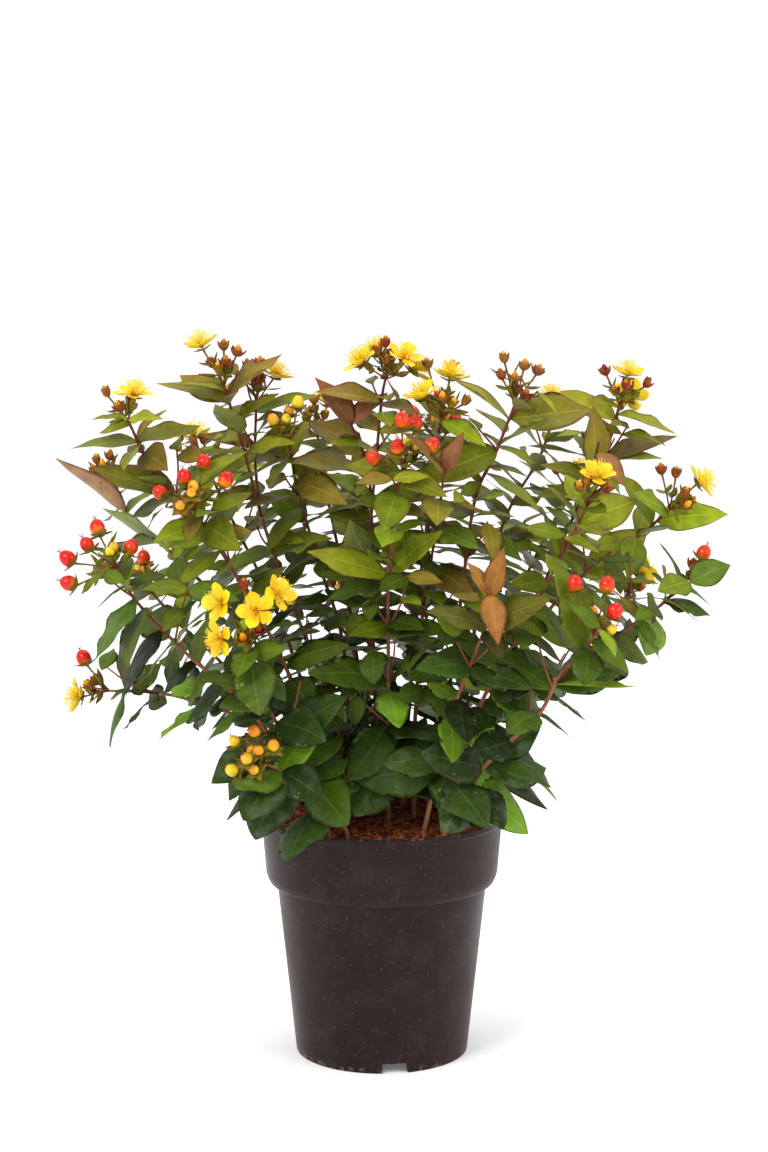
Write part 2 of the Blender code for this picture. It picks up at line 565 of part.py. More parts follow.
class Shape:
    """Faces to test what lies clear, in millimetres so that small ones are exact enough."""

    def __init__(self, corners, faces):
        self.corners = [corner / MM for corner in corners]
        self.faces = faces
        self.low = [min(corner[k] for corner in self.corners) for k in range(3)]
        self.high = [max(corner[k] for corner in self.corners) for k in range(3)]
        self.tree = None

    def crosses(self, other):
        if any(self.low[k] > other.high[k] or self.high[k] < other.low[k] for k in range(3)):
            return False
        for shape in (self, other):
            shape.tree = shape.tree or BVHTree.FromPolygons(shape.corners, shape.faces)
        return bool(self.tree.overlap(other.tree))


class Register:
    """What has been placed. A piece has a whole shape, for other shoots, and one off its own stalk."""

    def __init__(self):
        self.pieces = []

    def add(self, owner, name, whole, off_stalk=None):
        self.pieces.append((owner, name, whole, off_stalk or whole))

    def meets(self, owner, whole, off_stalk=None, skip=()):
        """The name of a piece that a new one crosses, or None."""
        for other, name, other_whole, other_off_stalk in self.pieces:
            if other != owner and whole.crosses(other_whole):
                return name
            if other == owner and name not in skip and (off_stalk or whole).crosses(other_off_stalk):
                return name
        return None


def stalk(points, radii, collection):
    """A tapering four-sided stalk: a bevelled curve with filled caps, made a mesh."""
    curve = bpy.data.curves.new("stalk", "CURVE")
    curve.dimensions = "3D"
    curve.bevel_depth = MM
    curve.bevel_resolution = 0
    curve.use_fill_caps = True
    spline = curve.splines.new("POLY")
    spline.points.add(len(points) - 1)
    for spot, point, radius in zip(spline.points, points, radii):
        spot.co = (*point, 1)
        spot.radius = radius
    guide = new_object("stalk guide", curve, collection)
    mesh = evaluated_mesh(guide)
    bpy.data.objects.remove(guide, do_unlink=True)
    shape = bmesh.new()
    shape.from_mesh(mesh)
    bmesh.ops.remove_doubles(shape, verts=shape.verts, dist=0.00001)
    bmesh.ops.recalc_face_normals(shape, faces=shape.faces)
    shape.to_mesh(mesh)
    shape.free()
    return new_object("stalk", mesh, collection)


def solid(corners, faces, collection):
    mesh = bpy.data.meshes.new("piece")
    mesh.from_pydata([tuple(c) for c in corners], [], faces)
    shape = bmesh.new()
    shape.from_mesh(mesh)
    bmesh.ops.recalc_face_normals(shape, faces=shape.faces)
    shape.to_mesh(mesh)
    shape.free()
    return new_object("piece", mesh, collection)


def turned_to(direction):
    """A rotation that turns +Z to a direction."""
    return direction.to_track_quat("Z", "Y").to_matrix().to_4x4()


def egg(place, direction, radius, length, segments, rings, collection):
    """An egg with its low end at a place: a sphere stretched along a direction."""
    shape = bmesh.new()
    bmesh.ops.create_uvsphere(shape, u_segments=segments, v_segments=rings, radius=1)
    for vertex in shape.verts:
        height = vertex.co.z
        wide = radius * (1 - EGG_TAPER * height)
        vertex.co = Vector((vertex.co.x * wide, vertex.co.y * wide, (height + 1) * length / 2))
    mesh = bpy.data.meshes.new("egg")
    shape.to_mesh(mesh)
    shape.free()
    mesh.transform(Matrix.Translation(place) @ turned_to(direction))
    return new_object("egg", mesh, collection)


def cone(place, direction, sides, low_radius, high_radius, height, collection):
    """A plain cone whose low end stands at a place."""
    shape = bmesh.new()
    bmesh.ops.create_cone(
        shape, cap_ends=True, segments=sides, radius1=low_radius, radius2=high_radius, depth=height)
    mesh = bpy.data.meshes.new("cone")
    shape.to_mesh(mesh)
    shape.free()
    mesh.transform(Matrix.Translation(place + direction * height / 2) @ turned_to(direction))
    return new_object("cone", mesh, collection)


def fuse(name, first, pieces, parts, look):
    """One solid from a first piece and a collection of others."""
    for owner in list(first.users_collection):
        owner.objects.unlink(first)
    parts.objects.link(first)
    first.name = name
    first.data.name = name
    if pieces.objects:
        boolean(first, pieces, "UNION", "MANIFOLD")
    keep_largest_body(first)
    first.data.materials.clear()
    first.data.materials.append(look)
    return first


def keep_largest_body(thing):
    """Drop loose scraps that fusing leaves."""
    shape = bmesh.new()
    shape.from_mesh(thing.data)
    bmesh.ops.dissolve_limit(shape, angle_limit=FLAT_ENOUGH, verts=shape.verts, edges=shape.edges)
    bmesh.ops.triangulate(shape, faces=shape.faces)
    islands = []
    seen = set()
    for face in shape.faces:
        if face in seen:
            continue
        island = [face]
        seen.add(face)
        for member in island:
            for edge in member.edges:
                for other in edge.link_faces:
                    if other not in seen:
                        seen.add(other)
                        island.append(other)
        islands.append(island)
    islands.sort(key=len)
    for island in islands[:-1]:
        bmesh.ops.delete(shape, geom=island, context="FACES")
    bmesh.ops.delete(shape, geom=[v for v in shape.verts if not v.link_faces], context="VERTS")
    shape.to_mesh(thing.data)
    shape.free()


def nearest_on(route, point):
    """The place on a route that lies nearest to a point."""
    places = []
    for start, end in zip(route, route[1:]):
        share = max(0, min(1, (point - start).dot(end - start) / (end - start).length_squared))
        places.append(start.lerp(end, share))
    return min(places, key=lambda place: (place - point).length)


def plan_routes():
    """Each shoot's smooth route in metres, with the radii of its stalk in millimetres.

    A side shoot starts on the axis of the shoot that it grows from.
    """
    plans = {}
    for name, shoot in SHOOTS.items():
        points = [Vector(point) * CM for point in shoot["route"]]
        thick, thin = SHOOT_RADII
        if "on" in shoot:
            points[0] = nearest_on(plans[shoot["on"]]["route"], points[0])
            thick, thin = SIDE_RADII
        route = smooth_route(points)
        count = len(route)
        radii = [thick + (thin - thick) * k / (count - 1) for k in range(count)]
        plans[name] = dict(route=route, radii=radii, owner=shoot.get("on", name))
    return plans


def plan_heads(plans):
    """The stalks and places of the flowers, buds and berries at the end of each route."""
    heads = []
    for name, shoot in SHOOTS.items():
        tip = plans[name]["route"][-1]
        heading = (tip - plans[name]["route"][-2]).normalized()
        for kind in ("flowers", "buds", "berries"):
            for i, entry in enumerate(shoot.get(kind, ())):
                place = tip + Vector(entry[:3]) * CM
                facing = (place - tip).normalized() * 0.6 + UP * 0.4
                if len(entry) > 3:
                    facing = Vector(entry[3])
                heads.append(dict(
                    name=f"{kind} {i + 1} of {name}", shoot=name, owner=plans[name]["owner"], kind=kind,
                    index=i, place=place, facing=facing.normalized(), tip=tip, heading=heading))
    return heads


def bloom_pieces(place, facing, collection):
    """A flower round a small core whose flat foot is at a place."""
    turn = turned_to(facing)
    core = cone(place, facing, PETAL_COUNT, CORE_RADIUS, CORE_RADIUS * CORE_TAPER, CORE_HEIGHT, collection)
    for k in range(PETAL_COUNT):
        angle = (k + 0.5) * math.tau / PETAL_COUNT
        outward = turn @ Vector((math.cos(angle), math.sin(angle), 0))
        offset = (outward * math.cos(PETAL_RISE) + facing * math.sin(PETAL_RISE)) * PETAL_LENGTH
        axis = offset.normalized()
        face = (facing - axis * facing.dot(axis)).normalized()
        foot = place + facing * CORE_HEIGHT * 0.4 + outward * CORE_RADIUS * 0.5
        corners, faces = blade(
            foot, offset, face, axis.cross(face), PETAL_HALF_WIDTH, PETAL_ARCH, PETAL_STATIONS, PETAL_ROOT)
        solid(corners, faces, collection)
    for k in range(STAMEN_COUNT):
        angle = (k + 0.5) * math.tau / STAMEN_COUNT
        outward = turn @ Vector((math.cos(angle), math.sin(angle), 0))
        direction = (outward * math.sin(STAMEN_LEAN) + facing * math.cos(STAMEN_LEAN)).normalized()
        foot = place + facing * CORE_HEIGHT * 0.75 + outward * CORE_RADIUS * 0.2
        cone(foot, direction, 3, STAMEN_RADIUS, 0, STAMEN_LENGTH, collection)
    return core


def bloom_cone(place, facing):
    """A closed outline round a flower, used only to test what lies clear."""
    turn = turned_to(facing)
    reach = PETAL_LENGTH * math.cos(PETAL_RISE) * 0.94
    height = PETAL_LENGTH * math.sin(PETAL_RISE)
    rings = [(0.0012, 0.0), (reach, height * 0.55), (reach, height * 1.2)]
    rings.append((STAMEN_LENGTH * 0.5, STAMEN_LENGTH))
    sides = 2 * PETAL_COUNT
    corners = []
    faces = []
    for radius, lift in rings:
        for k in range(sides):
            angle = k * math.tau / sides
            corners.append(place + turn @ Vector((radius * math.cos(angle), radius * math.sin(angle), lift)))
    for start in range(0, sides * (len(rings) - 1), sides):
        for k in range(sides):
            a = start + k
            b = start + (k + 1) % sides
            faces += [(a, b, b + sides), (a, b + sides, a + sides)]
    top = sides * (len(rings) - 1)
    faces += [(top + k, top + (k + 1) % sides, top + (k + PETAL_COUNT) % sides) for k in range(sides)]
    return corners, faces


def wanted_leaf(name, plan, distance, offset, arch):
    """A leaf whose root starts just off the axis of its stalk."""
    point, stem, radius = along(plan, distance)
    base = point + offset.normalized() * radius * ROOT_START
    return dict(shoot=name, base=base, stem=stem, offset=offset, arch=arch, root=radius * ROOT_SIZE)


def hand_set_leaves(plans):
    """Leaves that are placed one by one."""
    wanted = []
    for name, shoot in SHOOTS.items():
        for distance, offset in shoot.get("leaves", ()):
            offset = Vector(offset) * CM
            wanted.append(wanted_leaf(name, plans[name], distance * CM, offset, HAND_LEAF_ARCH))
    return wanted


def filling_pairs(plans):
    """Pairs of leaves that cross at right angles, where no leaf is set by hand."""
    wanted = []
    for number, (name, shoot) in enumerate(SHOOTS.items()):
        draw = random.Random(SEED + number)
        length = route_length(plans[name]["route"])
        taken = [distance * CM for distance, offset in shoot.get("leaves", ())]
        distance = FIRST_PAIR + draw.uniform(-0.008, 0.008)
        phase = draw.uniform(0, math.pi)
        while distance < length - PAIR_TIP_KEEP_OFF:
            phase += math.pi / 2
            if all(abs(distance - other) > PAIR_KEEP_OFF for other in taken):
                point, stem, radius = along(plans[name], distance)
                share = (point.z - PLANT_LOW) / (PLANT_HIGH - PLANT_LOW)
                size = (PAIR_SIZES[0] + (PAIR_SIZES[1] - PAIR_SIZES[0]) * share) * draw.uniform(0.88, 1.08)
                rise = PAIR_RISES[0] + (PAIR_RISES[1] - PAIR_RISES[0]) * share + draw.uniform(-8, 8)
                rise = math.radians(rise)
                across = Vector((math.cos(phase), math.sin(phase), 0))
                across = (across - stem * across.dot(stem)).normalized()
                for sign in (1, -1):
                    offset = (across * sign * math.cos(rise) + UP * math.sin(rise)) * size
                    wanted.append(wanted_leaf(name, plans[name], distance, offset, PAIR_ARCH))
            distance += PAIR_SPACING * draw.uniform(0.9, 1.1)
    return wanted


def changed_leaf(leaf, variant):
    turn, lift, scale = variant
    offset = Matrix.Rotation(math.radians(turn), 3, leaf["stem"]) @ leaf["offset"]
    across = leaf["stem"].cross(offset).normalized()
    offset = Matrix.Rotation(math.radians(-lift), 3, across) @ offset
    made = dict(leaf, offset=offset * scale)
    made["half_width"] = made["offset"].length * LEAF_WIDTH_RATIO / 2
    return made


def over_pot(corners):
    """Whether a leaf reaches into the pot or its rim."""
    low = POT_HEIGHT + RIM_CLEARANCE
    return any(corner.z < low and corner.xy.length < RIM_RADIUS + RIM_CLEARANCE for corner in corners)


def clear_leaf(leaf, owner, register):
    """The first variant of a leaf that is clear of all else, or None."""
    for variant in VARIANTS:
        tried = changed_leaf(leaf, variant)
        corners, faces = leaf_shape(tried, 0.0, CLEARANCE)
        if over_pot(corners):
            continue
        own_stalk = (leaf["shoot"] + " stalk",)
        if register.meets(owner, Shape(corners, faces), leaf_off_stalk(tried, CLEARANCE), own_stalk):
            continue
        if register.meets(owner, Shape(*leaf_shape(tried)), leaf_off_stalk(tried), own_stalk):
            continue
        return tried
    return None


def leaf_off_stalk(leaf, pad=0.0):
    return Shape(*leaf_shape(leaf, OFF_STALK, pad))


def head_shape(head):
    """The outline of a flower, berry or bud."""
    if head["kind"] == "flowers":
        return Shape(*bloom_cone(head["place"], head["facing"]))
    radius, length = BUD_RADIUS, BUD_LENGTH
    if head["kind"] == "berries":
        radius, length = BERRY_RADIUS, BERRY_LENGTH
    return Shape(*tube_faces([head["place"], head["place"] + head["facing"] * length], [radius, radius]))


def place_leaves(plans, heads):
    """The leaves that have room round the stalks, flowers, buds and berries."""
    register = Register()
    for name, plan in plans.items():
        spread = [radius * MM + GAP * 2 for radius in plan["radii"]]
        shape = Shape(*tube_faces(plan["route"], spread))
        report("stalk " + name, register.meets(plan["owner"], shape, skip=(plan["owner"] + " stalk",)))
        register.add(plan["owner"], name + " stalk", shape)
    for head in heads:
        shape = head_shape(head)
        report(head["name"], register.meets(head["owner"], shape))
        register.add(head["owner"], head["name"], shape)
    for head in heads:
        start = head["tip"] + head["heading"] * HUB_HEIGHT
        shape = Shape(*tube_faces([start, head["place"]], [PEDICEL_RADIUS * MM + CLEARANCE] * 2))
        stalks = head["shoot"] + " head stalk"
        skip = (head["shoot"] + " stalk", stalks, head["name"])
        report("stalk of " + head["name"], register.meets(head["owner"], shape, skip=skip))
        register.add(head["owner"], stalks, shape)
    leaves = []
    wanted = hand_set_leaves(plans) + filling_pairs(plans)
    for leaf in wanted:
        owner = plans[leaf["shoot"]]["owner"]
        placed = clear_leaf(leaf, owner, register)
        if placed:
            register.add(owner, "leaf", Shape(*leaf_shape(placed)), leaf_off_stalk(placed))
            leaves.append(placed)
    print("leaves placed", len(leaves), "of", len(wanted))
    return leaves


def report(name, found):
    if found:
        print(name, "meets", found)


def build():
    clear_scene()
    parts = bpy.data.collections.new("potted hypericum")
    cutters = bpy.data.collections.new("cutters")
    pieces = bpy.data.collections.new("pieces")
    for collection in (parts, cutters, pieces):
        bpy.context.scene.collection.children.link(collection)
    looks = dict(
        leafy=material("green leaves", LEAF_GREEN, 0.5),
        young=material("olive and red-brown leaves", OLIVE, 0.5),
        petal=material("petals", YELLOW, 0.5),
        berry=material("red berries", RED, 0.3),
        amber=material("amber berries", AMBER, 0.3))

    plans = plan_routes()
    heads = plan_heads(plans)
    leaves = place_leaves(plans, heads)
    make_pot(parts, cutters)
    rooted = [name for name, plan in plans.items() if plan["owner"] == name]
    make_soil(parts, cutters, [plans[name]["route"][0].xy for name in rooted])
    for name in rooted:
        make_shoot(name, plans, heads, leaves, looks, parts, pieces)
    for head in heads:
        if head["kind"] == "flowers":
            make_bloom(head, looks, parts, pieces)
    for name in SHOOTS:
        bunch = [head for head in heads if head["shoot"] == name and in_bunch(head)]
        if bunch:
            make_bunch(name, bunch, looks, parts, pieces)
    for collection in (cutters, pieces):
        bpy.data.collections.remove(collection)


def in_bunch(head):
    """Whether a berry grows in a bunch; a single one is fused with its shoot."""
    return head["kind"] == "berries" and len(SHOOTS[head["shoot"]]["berries"]) > 1


def make_shoot(name, plans, heads, leaves, looks, parts, pieces):
    """A shoot with its side shoots, leaves, buds and flower stalks, fused."""
    members = [other for other, plan in plans.items() if plan["owner"] == name]
    plan = plans[name]
    foot = Vector((plan["route"][0].x, plan["route"][0].y, ROOT_END))
    first = stalk([foot] + plan["route"], [plan["radii"][0]] + plan["radii"], pieces)
    pieces.objects.unlink(first)
    parts.objects.link(first)
    for member in members:
        if member != name:
            stalk(plans[member]["route"], plans[member]["radii"], pieces)
    for leaf in leaves:
        if leaf["shoot"] in members:
            solid(*leaf_shape(leaf), pieces)
    for head in heads:
        if head["shoot"] not in members or in_bunch(head):
            continue
        place = head["place"]
        facing = head["facing"]
        end = place - facing * PEDICEL_RADIUS * 1.3 * MM
        stalk([head["tip"] - head["heading"] * SUNK, end], [PEDICEL_RADIUS] * 2, pieces)
        if head["kind"] == "buds":
            egg(place - facing * SUNK, facing, BUD_RADIUS, BUD_LENGTH, 4, 3, pieces)
        elif head["kind"] == "berries":
            egg(place - facing * SUNK, facing, BERRY_RADIUS, BERRY_LENGTH, 6, 4, pieces)
        else:
            cone(place - facing * CALYX_HEIGHT, facing, 5, 0, CALYX_RADIUS, CALYX_HEIGHT, pieces)
    look = looks["young"] if name in YOUNG_SHOOTS else looks["leafy"]
    fuse("shoot_" + name, first, pieces, parts, look)


def make_bloom(head, looks, parts, pieces):
    core = bloom_pieces(head["place"] + head["facing"] * GAP, head["facing"], pieces)
    pieces.objects.unlink(core)
    parts.objects.link(core)
    fuse(f"flower_{head['shoot']}_{head['index'] + 1}", core, pieces, parts, looks["petal"])


def make_bunch(name, bunch, looks, parts, pieces):
    """Berries on stalks that spread from a hub on the end of a shoot."""
    tip = bunch[0]["tip"]
    heading = bunch[0]["heading"]
    hub = cone(tip + heading * GAP, heading, 5, HUB_RADII[0], HUB_RADII[1], HUB_HEIGHT, parts)
    start = tip + heading * (GAP + HUB_HEIGHT * 0.6)
    for head in bunch:
        stalk([start, head["place"] + head["facing"] * SUNK], [PEDICEL_RADIUS] * 2, pieces)
        egg(head["place"], head["facing"], BERRY_RADIUS, BERRY_LENGTH, 5, 4, pieces)
    look = looks["amber"] if name in AMBER_BUNCHES else looks["berry"]
    fuse("berries_" + name, hub, pieces, parts, look)


build()
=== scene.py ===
"""Looks of a potted shrub with yellow flowers and red berries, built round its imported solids."""

import math
import random

import bpy
import numpy as np
from mathutils import Matrix, Vector


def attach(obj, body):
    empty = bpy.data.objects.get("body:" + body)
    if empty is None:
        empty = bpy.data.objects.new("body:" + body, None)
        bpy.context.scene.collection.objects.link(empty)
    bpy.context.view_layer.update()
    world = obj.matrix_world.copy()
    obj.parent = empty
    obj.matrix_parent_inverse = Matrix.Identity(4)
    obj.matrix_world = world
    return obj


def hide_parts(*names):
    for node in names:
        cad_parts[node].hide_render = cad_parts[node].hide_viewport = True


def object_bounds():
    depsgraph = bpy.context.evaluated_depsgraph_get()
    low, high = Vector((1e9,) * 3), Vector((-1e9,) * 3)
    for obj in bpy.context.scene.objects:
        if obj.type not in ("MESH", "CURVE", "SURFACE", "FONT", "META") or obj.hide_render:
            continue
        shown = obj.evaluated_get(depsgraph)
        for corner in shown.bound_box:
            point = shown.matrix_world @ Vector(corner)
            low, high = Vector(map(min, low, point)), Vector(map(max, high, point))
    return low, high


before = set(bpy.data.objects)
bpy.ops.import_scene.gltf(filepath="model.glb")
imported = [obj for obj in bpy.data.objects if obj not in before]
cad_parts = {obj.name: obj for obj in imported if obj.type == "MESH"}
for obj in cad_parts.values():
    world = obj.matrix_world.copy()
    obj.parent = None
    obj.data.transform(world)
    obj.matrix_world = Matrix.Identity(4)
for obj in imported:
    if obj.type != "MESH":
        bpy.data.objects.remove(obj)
CAD_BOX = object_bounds()

MM = 0.001
CM = 0.01
GAP = 0.0003
UP = Vector((0, 0, 1))

# Photograph's view
FOCAL_PIXELS = 2497
CAMERA_DISTANCE = 1.9
CAMERA_HEIGHT = 0.634
CAMERA_TILT = math.radians(7.8)
CAMERA_SIDE = 0.0017
PHOTO_WIDTH = 768

# Pot, as its solid has it
POT_HEIGHT = 0.189
RIM_RADIUS = 0.095
COLLAR_HEIGHT = 0.053
COLLAR_LOW_RADIUS = 0.090
BODY_TOP_RADIUS = 0.0815
FOOT_RADIUS = 0.067
WALL = 0.0016
FOOT_WIDTH = 0.004
FOOT_HEIGHT = 0.011
FLOOR_THICKNESS = 0.002
LIP_HEIGHT = 0.0045
LIP_STEP = 0.0016
NOTCH_COUNT = 3
NOTCH_WIDTH = 0.020
NOTCH_HEIGHT = 0.008
NOTCH_EDGE = 1e-4
FIRST_NOTCH_TURN = math.radians(-81)
POT_SIDES = 180
DRAIN_COUNT = 5
DRAIN_RADIUS = 0.005
DRAIN_RING = 0.036

# Soil
SOIL_TOP = 0.1815
SOIL_MOUND = 0.0012
SOIL_WAVE = 0.001
SOIL_FLOOR = 0.012
SOIL_SIDES = 200
SOIL_RINGS = 62
SOIL_EDGE = 0.0880
CRUMBS = 2600
FIBRES = 420

# Stalks, radii in millimetres
SHOOT_RADII = (1.9, 1.0)
SIDE_RADII = (1.2, 0.9)
PEDICEL_RADIUS = 0.65
STRAIGHT_ENOUGH = 0.0007
STALK_DEPTHS = (0.026, 0.012)
STALK_STEP = 0.004
SWELLING = 0.22
SWELLING_REACH = 0.0022
SHORT_PEDICEL = 0.009

# Leaves, as their solids have them
HAND_LEAF_ARCH = 0.10
ROOT_START = 0.25
PAIR_SPACING = 0.080
FIRST_PAIR = 0.050
PAIR_KEEP_OFF = 0.028
PAIR_TIP_KEEP_OFF = 0.012
PAIR_SIZES = (0.064, 0.044)
PAIR_RISES = (-24, 22)
PAIR_ARCH = 0.12
PLANT_LOW = 0.19
PLANT_HIGH = 0.53
SEED = 1000
SAME_PLACE = 0.00008

# Leaves that only the looks have
LEAF_WIDTHS = (0.60, 0.49)
LEAF_FOLDS = (-0.26, 0.30)
LIGHT_LEAN = (0, -0.35, 0.1)
FLAT_FACE = 0.25
LEAF_GRIDS = ((0.042, 14, 8), (0.028, 12, 7), (0, 9, 6))
YOUNG_REACH = 0.022
BRONZE_REACH = 0.06
LOW_LEAF = 0.35
FRESH_CHANCE = 0.14
BRIGHT_CHANCE = 0.20
BRONZE_LEAF = 0.60
BRONZE_CHANCE = 0.42
# Factors that make each leaf's colour darker or lighter at random. Partly real differences of tone, partly
# painted light and shade that make some leaves look lit and others shaded. Low leaves get the wider range.
LOW_TONES_AND_PAINTED_LIGHTING = (0.35, 1.9)
HIGH_TONES_AND_PAINTED_LIGHTING = (0.65, 1.35)
FILL_SEED = 5000
DRESS_SEED = 77
TWIG_SEED = 31
TWIG_SHARE = 0.9
TWIG_LENGTHS = (0.022, 0.056)
TWIG_LOW = 0.25
TWIG_KEEP_OFF = 0.012
TIP_PAIRS = (0.003, 0.014)
FIRST_FILL = 0.030
FILL_STEPS = (0.011, 0.018)
FILL_SIZES = (0.056, 0.042)
AXIL_SIZES = (0.018, 0.036)
FILL_CHANGES = ((0, 0, 1.0), (25, 0, 1.0), (-25, 0, 1.0), (0, 20, 1.0), (0, -20, 1.0), (50, 10, 0.85),
                (-50, 10, 0.85), (0, 0, 0.7), (30, 15, 0.7), (-30, 15, 0.7), (0, -25, 0.7))
LOW_SHARE = 0.45
LOW_BARE = 0.38
SOIL_VIEW_MIDDLE = -0.005
SOIL_VIEW_HALF = 0.055
SOIL_VIEW_BACK = 0.04
SOIL_VIEW_SLOPE = 0.25
ROOT_KEEP_OFF = 0.007
RIM_KEEP_OFF = 0.005
TOP_KEEP_OFF = 0.003
CELL = 0.0030
CORNER_WAYS = np.array([[a, b, c] for a in (-1, 1) for b in (-1, 1) for c in (-1, 1)])

# Flowers, buds and berries
PETAL_COUNT = 5
PETAL_LENGTH = 0.0135
PETAL_HALF_WIDTH = 0.0043
PETAL_RISE = math.radians(24)
CORE_RADIUS = 0.0021
CORE_HEIGHT = 0.0032
BERRY_RADIUS = 0.0054
BERRY_LENGTH = 0.0135
BUD_RADIUS = 0.0030
BUD_LENGTH = 0.0085
BUD_ROWS = 9
BERRY_ROWS = 15
FINE_STAMENS = 120
FLOWER_SEED = 9
EXTRA_HEADS = 3
EXTRA_TRIES = 12
BUD_SEED = 14

